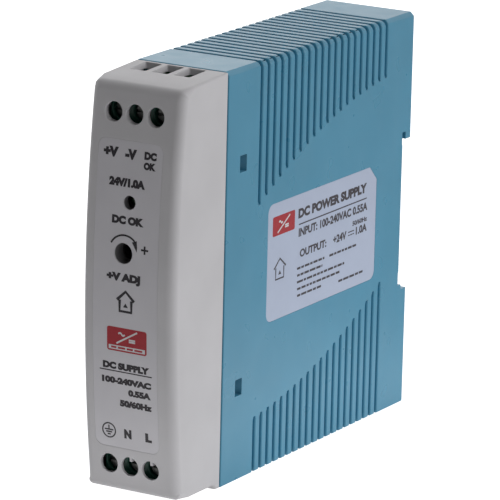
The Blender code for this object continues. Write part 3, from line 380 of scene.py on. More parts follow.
def lathe(profile, centre, axis="y", sides=TURNED_SIDES, reach=None):
    """A turned body; profile is (radius, distance along axis), from one end's middle to the other's.

    Where reach is given, reach(radius, along, share of a turn) is the radius there instead.
    """
    bm = bmesh.new()
    rings = []
    for radius, along in profile:
        if radius == 0:
            rings.append(bm.verts.new(place_on(axis, centre, along)))
            continue
        ring = []
        for side in range(sides):
            angle = 2 * math.pi * side / sides
            out = reach(radius, along, side / sides) if reach else radius
            point = (centre[0] + out * math.cos(angle), centre[1] + out * math.sin(angle))
            ring.append(bm.verts.new(place_on(axis, point, along)))
        rings.append(ring)
    for first, second in zip(rings, rings[1:]):
        for side in range(sides):
            after = (side + 1) % sides
            if not isinstance(first, list):
                bm.faces.new((first, second[side], second[after]))
            elif not isinstance(second, list):
                bm.faces.new((first[side], first[after], second))
            else:
                bm.faces.new((first[side], first[after], second[after], second[side]))
    return bm


def rounded_outline(u, v, radius, steps=8, cut=0.0):
    """A rectangle with round corners; a cut takes the corner at high u and high v off straight."""
    points = []
    corners = ((u[1], v[1], 0), (u[0], v[1], 90), (u[0], v[0], 180), (u[1], v[0], 270))
    for corner_u, corner_v, start in corners:
        if cut and start == 0:
            points += [(corner_u, corner_v - cut), (corner_u - cut, corner_v)]
            continue
        centre_u = corner_u + (radius if corner_u == u[0] else -radius)
        centre_v = corner_v + (radius if corner_v == v[0] else -radius)
        for cosine, sine in quarter_turn(steps, start):
            points.append((centre_u + radius * cosine, centre_v + radius * sine))
    return points


def face_y(z, inset=0.0):
    """Where the bowed front face lies at height z, moved back by inset."""
    return FACE_FRONT_Y + FACE_RADIUS - math.sqrt(FACE_RADIUS**2 - (z - FACE_CENTRE_Z) ** 2) + inset


def face_points(low, high, inset=0.0):
    heights = [high + (low - high) * step / FACE_STEPS for step in range(FACE_STEPS + 1)]
    return [(face_y(z, inset), z) for z in heights]


def bezier(points, steps):
    """Points on a quadratic curve, without its first point."""
    a, b, c = (Vector(point) for point in points)
    curve = []
    for step in range(1, steps + 1):
        t = step / steps
        curve.append(tuple(a * (1 - t) ** 2 + b * 2 * t * (1 - t) + c * t * t))
    return curve


def mirrored(z, side):
    """The height z in the top half, or its mirror in the bottom half where side is -1."""
    return MID_Z + side * (z - MID_Z)


def mirrored_span(span, side):
    return tuple(sorted(mirrored(z, side) for z in span))


def poles():
    for group, side in (("output", 1), ("input", -1)):
        for number, x in enumerate(POLE_X, 1):
            yield group, number, x, side


def lower_groove_end(y):
    """The height at which the groove at y ends below: the ends lie on a parabola."""
    run = (y - GROOVE_FIRST_Y) / MM
    level, slope, curve = GROOVE_END_CURVE
    return (level + slope * run + curve * run**2) * MM


def upper_groove_end(y):
    last = (GROOVES - 1) * GROOVE_PITCH
    return HEIGHT - lower_groove_end(2 * GROOVE_FIRST_Y + last - y) - UPPER_GROOVE_EXTRA


# Materials


class Nodes:
    """Short ways to build a node tree; a value may be a number, a tuple or another node's output."""

    def __init__(self, tree):
        self.tree = tree

    def feed(self, socket, value):
        if isinstance(value, bpy.types.NodeSocket):
            self.tree.links.new(value, socket)
        else:
            socket.default_value = value

    def node(self, kind, **inputs):
        node = self.tree.nodes.new(kind)
        for name, value in inputs.items():
            self.feed(node.inputs[name.replace("_", " ")], value)
        return node

    def pair(self, kind, operation, first, second):
        """The outputs of a node that works on two values."""
        node = self.tree.nodes.new(kind)
        node.operation = operation
        self.feed(node.inputs[0], first)
        self.feed(node.inputs[1], second)
        return node.outputs

    def times(self, first, second):
        return self.pair("ShaderNodeMath", "MULTIPLY", first, second)["Value"]

    def plus(self, first, second):
        return self.pair("ShaderNodeMath", "ADD", first, second)["Value"]

    def vectors(self, operation, first, second):
        return self.pair("ShaderNodeVectorMath", operation, first, second)

    def spread(self, value, low, high, source=(0.3, 0.7), smooth=False):
        """Value's source range stretched to low..high and held there."""
        start, end = source
        ends = {"From_Min": start, "From_Max": end, "To_Min": low, "To_Max": high}
        node = self.node("ShaderNodeMapRange", Value=value, **ends)
        if smooth:
            node.interpolation_type = "SMOOTHSTEP"
        return node.outputs["Result"]


class Surface(Nodes):
    """A Principled material with small helpers for its procedural inputs."""

    def __init__(self, name, roughness, metallic=0.0, specular=0.5):
        self.material = bpy.data.materials.new(name)
        self.material.use_nodes = True
        super().__init__(self.material.node_tree)
        self.shader = self.tree.nodes["Principled BSDF"]
        self.set(Metallic=metallic, Roughness=roughness, Specular_IOR_Level=specular)
        self.place = self.node("ShaderNodeTexCoord").outputs["Object"]

    def set(self, **values):
        for name, value in values.items():
            self.feed(self.shader.inputs[name.replace("_", " ")], value)

    def noise(self, size, detail=2.0, stretch=(1, 1, 1), roughness=0.5):
        """Noise whose features are about size metres across."""
        place = self.node("ShaderNodeMapping", Vector=self.place, Scale=stretch).outputs["Vector"]
        noise = self.node(
            "ShaderNodeTexNoise", Vector=place, Scale=1 / size, Detail=detail, Roughness=roughness
        )
        return noise.outputs["Fac"]

    def cells(self, size):
        return self.node("ShaderNodeTexVoronoi", Vector=self.place, Scale=1 / size).outputs["Distance"]

    def bands(self, axis, size, distortion=0.0):
        """Even bands about size metres apart along an axis."""
        node = self.node(
            "ShaderNodeTexWave", Vector=self.place, Scale=1 / (size * 3.2), Distortion=distortion
        )
        node.bands_direction = axis
        return node.outputs["Fac"]

    def ramp(self, value, first, second, source=(0.3, 0.7)):
        node = self.node("ShaderNodeValToRGB", Fac=value)
        for element, position, colour in zip(node.color_ramp.elements, source, (first, second)):
            element.position = position
            element.color = (*colour, 1)
        return node.outputs["Color"]

    def blend(self, factor, first, second):
        node = self.tree.nodes.new("ShaderNodeMix")
        node.data_type = "RGBA"
        self.feed(node.inputs["Factor"], factor)
        colours = [socket for socket in node.inputs if socket.type == "RGBA"]
        for socket, value in zip(colours, (first, second)):
            self.feed(socket, value if isinstance(value, bpy.types.NodeSocket) else (*value, 1))
        return next(socket for socket in node.outputs if socket.type == "RGBA")

    def rounded_normal(self, radius, samples):
        node = self.node("ShaderNodeBevel", Radius=radius)
        node.samples = samples
        return node.outputs["Normal"]

    def edge_mask(self, radius):
        """1 along convex and concave edges, 0 on open surface."""
        geometry = self.node("ShaderNodeNewGeometry").outputs["Normal"]
        dot = self.vectors("DOT_PRODUCT", self.rounded_normal(radius, 4), geometry)
        return self.spread(dot["Value"], 1, 0, (0.75, 0.995))

    def near_axis(self, x, z, radius):
        """1 within radius of the line along Y through (x, z), and 0 beyond it."""
        flat = self.vectors("MULTIPLY", self.place, (1, 0, 1))["Vector"]
        away = self.vectors("DISTANCE", flat, (x, 0, z))["Value"]
        return self.spread(away, 1, 0, (0.97 * radius, radius))

    def colour(self, value):
        self.set(Base_Color=value)

    def rough(self, size, detail, low, high, stretch=(1, 1, 1)):
        self.set(Roughness=self.spread(self.noise(size, detail, stretch), low, high))

    def relief(self, height, depth, round_edges=0.0):
        """Bump of the given depth in metres, over edges rounded in shading if asked."""
        bump = self.node("ShaderNodeBump", Height=height, Distance=depth, Strength=1.0)
        if round_edges:
            self.feed(bump.inputs["Normal"], self.rounded_normal(round_edges, 6))
        self.set(Normal=bump.outputs["Normal"])


def shade(colour, factor):
    return tuple(channel * factor for channel in colour)


def varied(colour, amount):
    """The colour a little darker and a little lighter."""
    return shade(colour, 1 - amount), shade(colour, 1 + amount)


def moulded_plastic(name, colour, roughness, grain=0.22 * MM, depth=0.006 * MM, wear=0.35, painted_shade_bores=()):
    """Spark-eroded moulding: fine even grain, faint clouding, and rubbed, slightly paler edges.

    Each hole in the last argument is (x, z, radius), along Y; its walls get painted shade, the colour
    darkened to 0.28 inside it.
    """
    s = Surface(name, roughness)
    body = s.ramp(s.noise(14 * MM, 3), *varied(colour, 0.035))
    scuffs = s.noise(5 * MM, 2, (1, 1, 0.4))
    body = s.blend(s.spread(scuffs, 0, 0.012, (0.45, 0.75)), body, (0.8, 0.8, 0.8))
    rubbed = s.times(s.edge_mask(0.3 * MM), s.spread(s.noise(0.9 * MM, 3), 0.1, wear))
    pale = tuple(min(1, channel * 1.25 + 0.03) for channel in colour)
    body = s.blend(rubbed, body, pale)
    # Painted shade: each hole's walls darkened to 0.28 of the colour, standing in for the shade deep inside
    # it.
    for x, z, radius in painted_shade_bores:
        body = s.blend(s.near_axis(x, z, radius + 0.1 * MM), body, shade(colour, 0.28))
    s.colour(body)
    s.rough(5 * MM, 1, roughness - 0.03, roughness + 0.04)
    s.relief(s.noise(grain, 3, roughness=0.6), depth, 0.12 * MM)
    return s.material


def label_film(name, colour, roughness=0.38):
    """Printed polyester film: nearly smooth, with a slight orange peel."""
    s = Surface(name, roughness)
    s.colour(s.ramp(s.noise(9 * MM, 2), *varied(colour, 0.025)))
    s.rough(1.2 * MM, 3, roughness - 0.05, roughness + 0.08)
    s.relief(s.noise(0.7 * MM, 2), 0.004 * MM)
    return s.material


def ink(name, colour):
    """Screen-printed ink with small pinholes of thinner print."""
    s = Surface(name, 0.45)
    s.colour(s.ramp(s.noise(0.18 * MM, 2), shade(colour, 1.25), colour, (0.25, 0.5)))
    s.rough(0.5 * MM, 2, 0.38, 0.55)
    s.relief(s.noise(0.12 * MM, 2), 0.003 * MM)
    return s.material


def metal(name, colour, roughness, size=0.35 * MM, stretch=(1, 1, 1)):
    """Plated or bare metal with fine working marks and a little dulling."""
    s = Surface(name, roughness, metallic=1.0)
    dull = s.spread(s.noise(1.4 * MM, 4), 0, 0.25)
    s.colour(s.blend(dull, colour, shade(colour, 0.55)))
    s.rough(size, 4, roughness - 0.08, roughness + 0.12, stretch)
    s.relief(s.noise(size, 3, stretch), 0.004 * MM, 0.06 * MM)
    return s.material


def coated(name, colour, roughness, speckle=0.5 * MM, amount=0.12, depth=0.01 * MM):
    """A dipped or cast coating with speckle and soft unevenness."""
    s = Surface(name, roughness)
    s.colour(s.ramp(s.noise(speckle, 4), *varied(colour, amount)))
    s.rough(1.5 * MM, 3, roughness - 0.05, roughness + 0.1)
    s.relief(s.noise(0.9 * MM, 3), depth, 0.15 * MM)
    return s.material


def wound(name, colour, pitch, gap_colour, roughness, metallic=0.0):
    """Turns of wire or tape lying side by side up a coil."""
    s = Surface(name, roughness, metallic)
    turns = s.bands("Z", pitch, 0.4)
    s.colour(s.ramp(turns, gap_colour, colour, (0.05, 0.5)))
    s.rough(0.6 * MM, 3, roughness - 0.05, roughness + 0.1)
    s.relief(turns, pitch * 0.3)
    return s.material


def laminate(name):
    """Green board: solder resist over glass weave, with paler tracks showing through."""
    s = Surface(name, 0.32)
    weave = s.times(s.bands("Y", 0.5 * MM), s.bands("Z", 0.5 * MM))
    base = s.ramp(weave, (0.018, 0.11, 0.045), (0.03, 0.15, 0.06), (0.2, 0.8))
    tracks = s.spread(s.cells(3.2 * MM), 0, 1, (0.42, 0.45))
    s.colour(s.blend(tracks, base, (0.05, 0.24, 0.09)))
    s.rough(1.1 * MM, 3, 0.26, 0.42)
    s.relief(weave, 0.01 * MM)
    return s.material


def lens_plastic(name):
    """Tinted epoxy of an unlit lamp."""
    s = Surface(name, 0.12)
    s.colour(s.ramp(s.noise(0.8 * MM, 2), (0.012, 0.035, 0.016), (0.02, 0.055, 0.026)))
    s.rough(0.6 * MM, 3, 0.08, 0.18)
    s.relief(s.noise(0.5 * MM, 2), 0.003 * MM)
    s.set(Coat_Weight=0.4)
    return s.material


def sleeve_plastic(name):
    """Shrunk sleeve of an electrolytic capacitor, dark blue with a pale stripe down one side."""
    s = Surface(name, 0.3)
    stripe = s.spread(s.bands("Y", 5.0 * MM), 0, 1, (0.93, 0.96))
    s.colour(s.blend(stripe, (0.012, 0.018, 0.05), (0.35, 0.37, 0.42)))
    s.rough(1.2 * MM, 3, 0.24, 0.38)
    s.relief(s.noise(0.8 * MM, 3), 0.008 * MM)
    return s.material


COVER_GREY = (0.575, 0.566, 0.586)
HOUSING_TEAL = (0.066, 0.271, 0.413)


# The lamp's and the adjuster's holes as (x, z, radius): the front label is cut round them, and the cover's
# material paints shade on their walls.
BORES = ((LED_X, LED_Z, LED_HOLE_RADIUS), (TRIMMER_X, TRIMMER_Z, TRIMMER_HOLE_RADIUS))

# For each slot, and for each further finish of the label and the prints: how it is made, its
# colour, its roughness, and what differs from the maker's usual values.
FINISHES = {
    "cover_plastic": (moulded_plastic, COVER_GREY, 0.58, 0.22 * MM, 0.006 * MM, 0.35, BORES),
    "housing_plastic": (moulded_plastic, HOUSING_TEAL, 0.3, 0.25 * MM, 0.003 * MM, 0.3),
    "label_film": (label_film, (0.62, 0.608, 0.645)),
    "side_film": (label_film, (0.44, 0.50, 0.64)),
    "latch_plastic": (moulded_plastic, (0.025, 0.025, 0.028), 0.38),
    "spring_steel": (metal, (0.45, 0.45, 0.46), 0.3, 0.3 * MM, (1, 1, 6)),
    "terminal_plastic": (moulded_plastic, (0.006, 0.070, 0.045), 0.38, 0.22 * MM, 0.006 * MM, 0.15),
    "screw_steel": (metal, (0.30, 0.30, 0.29), 0.42, 0.25 * MM, (1, 8, 1)),
    "tinned_copper": (metal, (0.66, 0.64, 0.60), 0.36),
    "board_laminate": (laminate,),
    "black_plastic": (moulded_plastic, (0.02, 0.02, 0.021), 0.42),
    "lamp_lens": (lens_plastic,),
    "rotor_plastic": (moulded_plastic, (0.035, 0.034, 0.033), 0.4),
    "trimmer_plastic": (moulded_plastic, (0.02, 0.06, 0.16), 0.42),
    "insulating_film": (label_film, (0.50, 0.50, 0.46), 0.3),
    "ferrite": (coated, (0.045, 0.045, 0.05), 0.6, 0.3 * MM, 0.3, 0.02 * MM),
    "enamelled_copper": (wound, (0.55, 0.20, 0.07), 0.55 * MM, (0.1, 0.03, 0.01), 0.3, 0.6),
    "winding_tape": (wound, (0.60, 0.42, 0.05), 4.0 * MM, (0.42, 0.28, 0.03), 0.35),
    "black_resin": (coated, (0.018, 0.018, 0.02), 0.48, 0.25 * MM, 0.25),
    "capacitor_box": (coated, (0.62, 0.50, 0.07), 0.42, 2.0 * MM, 0.05),
    "capacitor_sleeve": (sleeve_plastic,),
    "blue_coating": (coated, (0.02, 0.10, 0.36), 0.35),
    "green_coating": (coated, (0.03, 0.15, 0.07), 0.4),
    "resistor_coating": (coated, (0.25, 0.36, 0.38), 0.45),
    "aluminium_sheet": (metal, (0.72, 0.72, 0.73), 0.4, 0.3 * MM, (1, 1, 10)),
    "plated_steel": (metal, (0.68, 0.67, 0.63), 0.32),
    "black_ink": (ink, (0.018, 0.014, 0.020)),
    "grey_ink": (ink, (0.040, 0.034, 0.044)),
    "red_ink": (ink, (0.36, 0.012, 0.022)),
    "white_ink": (ink, (0.62, 0.62, 0.64)),
}


def make_materials():
    return {slot: make(f"{slot}_look", *values) for slot, (make, *values) in FINISHES.items()}


# Housing


# The four long corners in order: label side above, other side above, other side below, label side
# below. Each is (side, up, radius in the strips, radius in the groove field, share of roundness).
LONG_CORNERS = (
    (1, 1, 0.95 * MM, 1.5 * MM, 0.15),
    (-1, 1, 0.3 * MM, 0.45 * MM, 1.0),
    (-1, -1, 0.35 * MM, 0.45 * MM, 1.0),
    (1, -1, 0.35 * MM, 0.45 * MM, 1.0),
)
CORNER_STEPS = 8


def body_ring(y, inset_x, inset_z, field):
    """One cross-section of the housing; field is 0 in the strips and 1 in the groove fields."""
    half = HALF_WIDTH - inset_x
    low, high = inset_z, HEIGHT - inset_z
    ring = []
    for number, (side_x, side_z, strip_radius, field_radius, strip_round) in enumerate(LONG_CORNERS):
        radius = strip_radius + (field_radius - strip_radius) * field
        roundness = strip_round + (1 - strip_round) * field
        centre = Vector((side_x * (half - radius), (high - radius) if side_z > 0 else (low + radius)))
        spokes = [Vector(spoke) for spoke in quarter_turn(1, 90 * number)]
        for step, spoke in enumerate(quarter_turn(CORNER_STEPS, 90 * number)):
            arc = centre + radius * Vector(spoke)
            flat = centre + radius * spokes[0].lerp(spokes[1], step / CORNER_STEPS)
            point = flat.lerp(arc, roundness)
            ring.append((point.x, y, point.y))
    return ring


def housing_block():
    """The solid outer form: strips before and behind, rounder corners in the groove fields."""
    first = GROOVE_FIRST_Y
    last = GROOVE_FIRST_Y + (GROOVES - 1) * GROOVE_PITCH
    lead = 0.15 * MM
    front_round = 0.25 * MM
    rear_round = 0.2 * MM
    stations = []
    for cosine, sine in quarter_turn(4):
        inset = front_round * (1 - sine)
        stations.append((HOUSING_FRONT_Y + front_round * (1 - cosine), inset, inset, 0))
    for y, field in ((first - lead, 0), (first + lead, 1), (last - lead, 1), (last + lead, 0)):
        stations.append((y, 0, 0, field))
    for cosine, sine in quarter_turn(6):
        inset = rear_round * (1 - cosine)
        stations.append((REAR_Y - rear_round * (1 - sine), inset * 0.8, inset, 0))
    bm = bmesh.new()
    add_loft(bm, [body_ring(*station) for station in stations])
    return new_object("housing_shell", bm)


def groove_section():
    """Half-section of a groove cutter as (half width, depth), from outside the wall to the floor."""
    outside = 0.12 * MM
    steepest = 68
    floor_round = 0.2 * MM
    points = []
    for degrees in (steepest, 45, 22, 0):
        angle = math.radians(degrees)
        points.append((GROOVE_HALF + GROOVE_LIP * (1 - math.cos(angle)), GROOVE_LIP * (1 - math.sin(angle))))
    rise = points[0][1] + outside
    points.insert(0, (points[0][0] + rise / math.tan(math.radians(90 - steepest)), -outside))
    for cosine, sine in quarter_turn(2):
        points.append((GROOVE_HALF - floor_round * (1 - cosine), GROOVE_DEPTH - floor_round * (1 - sine)))
    return points


def groove_corner(side_x, side_z):
    """Stations round one long corner, from the side wall to the top or bottom wall."""
    radius = next(row[3] for row in LONG_CORNERS if row[:2] == (side_x, side_z))
    wall = HEIGHT if side_z > 0 else 0.0
    if radius < GROOVE_DEPTH + 0.3 * MM:
        return [(side_x * HALF_WIDTH, wall, side_x, side_z, 0.0)]
    stations = []
    for cosine, sine in quarter_turn(CORNER_STEPS):
        away_x, away_z = side_x * cosine, side_z * sine
        x = side_x * (HALF_WIDTH - radius) + radius * away_x
        z = wall - side_z * radius + radius * away_z
        stations.append((x, z, away_x, away_z, 0.0))
    return stations


def groove_path(end, side):
    """Stations (x, z, normal x, normal z, lift) up one wall, across the top or bottom and down."""
    halves = []
    for side_x in (1, -1):
        half = []
        for run, lift in GROOVE_RUN_OUT:
            half.append((side_x * HALF_WIDTH, end + side * run * MM, side_x, 0.0, lift * GROOVE_DEPTH))
        halves.append(half + groove_corner(side_x, side))
    return halves[0] + halves[1][::-1]


def groove_cutters():
    section = groove_section()
    whole = section + [(-half, depth) for half, depth in reversed(section)]
    bm = bmesh.new()
    for index in range(GROOVES):
        y = GROOVE_FIRST_Y + index * GROOVE_PITCH
        for end, side in ((upper_groove_end(y), 1), (lower_groove_end(y), -1)):
            rings = []
            for x, z, nx, nz, lift in groove_path(end, side):
                inward = [(across, depth - lift) for across, depth in whole]
                rings.append([(x - nx * depth, y + across, z - nz * depth) for across, depth in inward])
            add_loft(bm, rings)
    return new_object("tool", bm)


def rail_recess():
    """The cut-out for the rail, with the slot behind the upper hook and the relief at both ends."""
    beyond = REAR_Y + BEYOND
    outline = (
        (beyond, LEDGE_LIP_Z), (LEDGE_LIP_Y, LEDGE_LIP_Z), (LEDGE_LIP_Y, RAIL_LEDGE_Z),
        (RELIEF_Y, RAIL_LEDGE_Z), (RELIEF_Y, SEAT_Z[0]), (RAIL_FACE_Y, SEAT_Z[0]),
        (RAIL_FACE_Y, SEAT_Z[1]), (RELIEF_Y, SEAT_Z[1]), (RELIEF_Y, HOOK_SLOT_TOP_Z),
        (HOOK_INNER_Y, HOOK_SLOT_TOP_Z), (HOOK_INNER_Y, HOOK_BOTTOM_Z), (beyond, HOOK_BOTTOM_Z),
    )
    return prism_tool(outline, "x", -2 * HALF_WIDTH, 2 * HALF_WIDTH)


def latch_slideway():
    """The T-shaped guide up the rear foot and its mouth through the rail ledge."""
    front, step = LATCH_GUIDE_Y
    flange, web = LATCH_FLANGE_HALF, LATCH_WEB_HALF
    rear = REAR_Y + BEYOND
    outline = (
        (-flange, front), (flange, front), (flange, step), (web, step),
        (web, rear), (-web, rear), (-web, step), (-flange, step),
    )
    guide = prism_tool(outline, "z", -BEYOND, LATCH_GUIDE_TOP_Z)
    mouth = ((-web, web), (LATCH_MOUTH_Y, rear), (LATCH_GUIDE_TOP_Z - 1.3 * MM, RAIL_LEDGE_Z + 2 * MM))
    carve(guide, box_tool(mouth), "UNION")
    return guide


def windows_cutter():
    boxes = []
    for z in SNAP_Z:
        for side in (-1, 1):
            x = sorted((side * (INNER_HALF_WIDTH - BEYOND), side * (HALF_WIDTH + BEYOND)))
            boxes.append((x, SNAP_WINDOW_Y, about(z, SNAP_WINDOW_HALF)))
    return box_tool(*boxes)


def side_pocket():
    y, z = around(SIDE_LABEL_Y, LABEL_MARGIN), around(SIDE_LABEL_Z, LABEL_MARGIN)
    rim = rounded_outline(y, z, SIDE_LABEL_CORNER + LABEL_MARGIN, cut=SIDE_LABEL_CUT)
    return prism_tool(rim, "x", HALF_WIDTH - LABEL_DEPTH, HALF_WIDTH + BEYOND)


def housing_hollow():
    across = (-INNER_HALF_WIDTH, INNER_HALF_WIDTH)
    return box_tool((across, (HOUSING_FRONT_Y - 5 * BEYOND, CAVITY_REAR_Y), (WALL, HEIGHT - WALL)))


def housing_ribs():
    """The spring's ledge in the slideway, and ribs that hold the main board's long edges."""
    top = SPRING_Z[0] - 0.3 * MM
    boxes = [((-2.2 * MM, 2.2 * MM), (43.6 * MM, 48.3 * MM), (top - 1.8 * MM, top))]
    for side in (1, -1):
        boxes.append((BOARD_RIB_X, BOARD_RIB_Y, mirrored_span(BOARD_RIB_Z, side)))
    return box_tool(*boxes)


def make_housing(looks):
    housing = housing_block()
    cuts = (groove_cutters, housing_hollow, rail_recess, windows_cutter, side_pocket, latch_slideway)
    for cut in cuts:
        carve(housing, cut())
    carve(housing, housing_ribs(), "UNION")
    settle_shading(housing)
    finish_piece(housing, looks, "housing_plastic", "chassis", "housing")


# Front cover


def corner_arc(corner, before, after, radius):
    """Points round a right-angled corner of an outline, from the side of before to that of after."""
    corner, before, after = Vector(corner), Vector(before), Vector(after)
    start = corner + (before - corner).normalized() * radius
    end = corner + (after - corner).normalized() * radius
    centre = start + end - corner
    return [
        tuple(centre + (start - centre) * cosine + (end - centre) * sine)
        for cosine, sine in quarter_turn(5)
    ]


def cover_outline():
    """The cover's side view, closed at the seam, as (y, z)."""
    brow = (-43.0 * MM, 89.4 * MM)
    sill = (-31.2 * MM, 0)
    rear_low, rear_high = (COVER_REAR_Y, 0), (COVER_REAR_Y, HEIGHT)
    top_start = (face_y(FACE_TOP_Z), FACE_TOP_Z)
    top_mid = (face_y(88.9 * MM) + 0.1 * MM, 88.7 * MM)
    top_end = (-45.6 * MM, 89.0 * MM)
    foot_start = (face_y(FACE_BOTTOM_Z), FACE_BOTTOM_Z)
    foot_mid = (face_y(1.4 * MM) + 0.1 * MM, 1.35 * MM)
    foot_end = (-45.4 * MM, 1.3 * MM)
    recess = [(-42.0 * MM, FOOT_RECESS), (-32.8 * MM, FOOT_RECESS)]
    slope = [(-32.2 * MM, 0.85 * MM), (-31.7 * MM, 0.2 * MM)]
    outline = [
        *corner_arc(rear_low, sill, rear_high, SEAM_ROUND),
        *corner_arc(rear_high, rear_low, brow, SEAM_ROUND),
        brow,
        *bezier((top_start, top_mid, top_end), 9)[::-1],
        *face_points(FACE_BOTTOM_Z, FACE_TOP_Z),
        *bezier((foot_start, foot_mid, foot_end), 8),
        *recess,
        *slope,
        sill,
    ]
    return [Vector(point) for point in outline]


def held(value):
    """The value, held between 0 and 1."""
    return max(0.0, min(1.0, value))


def cover_edge_radius(y, z):
    """How far each edge of the cover's side is rounded: most at the front, least at the seam."""
    seam_start, seam_run = COVER_REAR_Y - 1.2 * MM, 0.9 * MM
    front_start, front_run = -43.5 * MM, 3.0 * MM
    seam = held((y - seam_start) / seam_run)
    front = held((front_start - y) / front_run)
    base = COVER_UPPER_ROUND if z > MID_Z else COVER_LOWER_ROUND
    open_edge = base + (COVER_FRONT_ROUND - base) * front
    return open_edge + (SEAM_ROUND - open_edge) * seam


def inward_offsets(outline):
    """For each point of a closed outline, the step inwards per unit of offset, mitred at corners."""
    steps = []
    count = len(outline)
    for index, point in enumerate(outline):
        normals = []
        for a, b in ((outline[index - 1], point), (point, outline[(index + 1) % count])):
            along = (b - a).normalized()
            normals.append(Vector((-along.y, along.x)))
        total = normals[0] + normals[1]
        steps.append(total / (1 + normals[0].dot(normals[1])))
    return steps


def settled_radii(outline, steps):
    """The wanted edge radii, lessened where the offset outline would fold over itself."""
    most_rounds, least_left, lessening = 60, 0.08, 0.93
    radii = [cover_edge_radius(point.x, point.y) for point in outline]
    count = len(outline)
    for _ in range(most_rounds):
        folded = set()
        for index in range(count):
            after = (index + 1) % count
            side = outline[after] - outline[index]
            moved = side + steps[after] * radii[after] - steps[index] * radii[index]
            if moved.dot(side) < least_left * side.dot(side):
                folded |= {index, after}
        for index in folded:
            radii[index] *= lessening
        if not folded:
            break
    return radii


def cover_block():
    """The solid outer form: the side view swept across the width with rounded edges at both sides."""
    outline = cover_outline()
    steps = inward_offsets(outline)
    radii = settled_radii(outline, steps)
    rings = []
    for side in (-1, 1):
        half_rings = []
        for cosine, sine in quarter_turn(8):
            ring = []
            for point, step, radius in zip(outline, steps, radii):
                place = point + step * radius * (1 - cosine)
                ring.append((side * (HALF_WIDTH - radius * (1 - sine)), place.x, place.y))
            half_rings.append(ring)
        rings += half_rings[::-1] if side < 0 else half_rings
    bm = bmesh.new()
    add_loft(bm, rings)
    return new_object("cover_shell", bm)


def cover_hollow():
    floor = HEIGHT - COVER_CEILING_Z
    mouth_y = COVER_REAR_Y + 5 * BEYOND
    inner = face_points(floor, COVER_CEILING_Z, WALL)
    inner += [(mouth_y, floor), (mouth_y, COVER_CEILING_Z)]
    hollow = prism_tool(inner, "x", -INNER_HALF_WIDTH, INNER_HALF_WIDTH)
    across = (-INNER_HALF_WIDTH + 0.01 * MM, INNER_HALF_WIDTH - 0.01 * MM)
    depth = (COVER_ROOF_FRONT_Y, COVER_REAR_Y + 4.9 * MM)
    boxes = [(across, depth, (COVER_CEILING_Z - BEYOND, COVER_ROOF_Z))]
    for side in (1, -1):
        boxes.append((SCREW_POCKET_X, SCREW_POCKET_Y, mirrored_span(SCREW_POCKET_Z, side)))
    carve(hollow, box_tool(*boxes), "UNION")
    return hollow


def trimmer_collar():
    """The tube behind the adjuster's hole, set a little into the wall."""
    start, end, radius = face_y(TRIMMER_Z, WALL / 2), TRIMMER_COLLAR_END_Y, TRIMMER_COLLAR_RADIUS
    profile = ((0, start), (radius, start), (radius, end), (0, end))
    return new_object("tool", lathe(profile, (TRIMMER_X, TRIMMER_Z)))


def hole_rim(x, z, radius, tooth, sides):
    """Points round a hole; a tooth stands into it from the top, a little right of the middle."""
    points = []
    for index in range(sides):
        angle = 2 * math.pi * index / sides
        points.append((x + radius * math.cos(angle), z + radius * math.sin(angle)))
    if tooth:
        left, right = x + TOOTH_X[0], x + TOOTH_X[1]
        clear = 0.05 * MM
        kept = [p for p in points if not (left - clear < p[0] < right + clear and p[1] > z)]
        first = next(i for i, p in enumerate(kept) if p[0] <= left and p[1] > z)
        foot = z + radius - TOOTH_DEPTH
        top = z + radius - 0.08 * MM
        notch = [(right, top), (right, foot), (left, foot), (left, top + 0.06 * MM)]
        points = kept[:first] + notch + kept[first:]
    return points


def face_hole_cutter(x, z, radius, flare, *, sides=TURNED_SIDES, tooth=False, end=FRONT_Y + 7 * MM):
    """A hole along Y whose mouth opens out by flare where it meets the bowed face."""
    rim = hole_rim(x, z, radius, tooth, sides)
    outside = 0.3 * MM
    rings = []
    for grow, inset in ((flare + outside, -outside), (flare * 0.3, flare * 0.3), (0.0, flare), (0.0, None)):
        ring = []
        for px, pz in rim:
            away = Vector((px - x, pz - z))
            away.normalize()
            spot_x, spot_z = px + away.x * grow, pz + away.y * grow
            ring.append((spot_x, end if inset is None else face_y(spot_z, inset), spot_z))
        rings.append(ring)
    bm = bmesh.new()
    add_loft(bm, rings)
    return new_object("tool", bm)


def funnel_cutter():
    """Tapered wire entries through the top and bottom walls."""
    # Height, growth of the mouth, and share of the taper
    levels = (
        (HEIGHT + 0.3 * MM, 0.3 * MM, 0.0),
        (HEIGHT - 0.3 * MM, 0.0, 0.0),
        (COVER_CEILING_Z - 0.3 * MM, 0.0, 1.0),
    )
    corner = 0.35 * MM
    bm = bmesh.new()
    for mouth_x, pole_x in zip(FUNNEL_X, POLE_X):
        for side in (1, -1):
            rings = []
            for z, grow, share in levels:
                x = mouth_x + (pole_x - mouth_x) / 2 * share
                half = FUNNEL_HALF + (FUNNEL_END_HALF - FUNNEL_HALF) * share + grow
                front = FUNNEL_Y[0] + (FUNNEL_END_Y[0] - FUNNEL_Y[0]) * share - grow
                rear = FUNNEL_Y[1] + (FUNNEL_END_Y[1] - FUNNEL_Y[1]) * share + grow
                outline = rounded_outline(about(x, half), (front, rear), corner, 4)
                rings.append([(px, py, mirrored(z, side)) for px, py in outline])
            add_loft(bm, rings)
    return new_object("tool", bm)


def snap_arms():
    """Four arms behind the cover, each with a ramped lug for a window in the housing."""
    root = INNER_HALF_WIDTH + 0.5 * MM
    inner, outer = ARM_X
    outline = (
        (root, ARM_Y[0]), (inner, ARM_Y[0]), (inner, ARM_Y[1]), (outer, ARM_Y[1]),
        (outer, LUG_RAMP_Y[1]), (LUG_X, LUG_RAMP_Y[0]), (LUG_X, LUG_FRONT_Y), (outer, LUG_FRONT_Y),
        (outer, ARM_ROOT_REAR_Y), (root, ARM_ROOT_REAR_Y),
    )
    bm = bmesh.new()
    for z in SNAP_Z:
        for side in (-1, 1):
            add_prism(bm, [(side * x, y) for x, y in outline], "z", *about(z, SNAP_WINDOW_HALF - SNAP_GAP))
    return new_object("tool", bm)


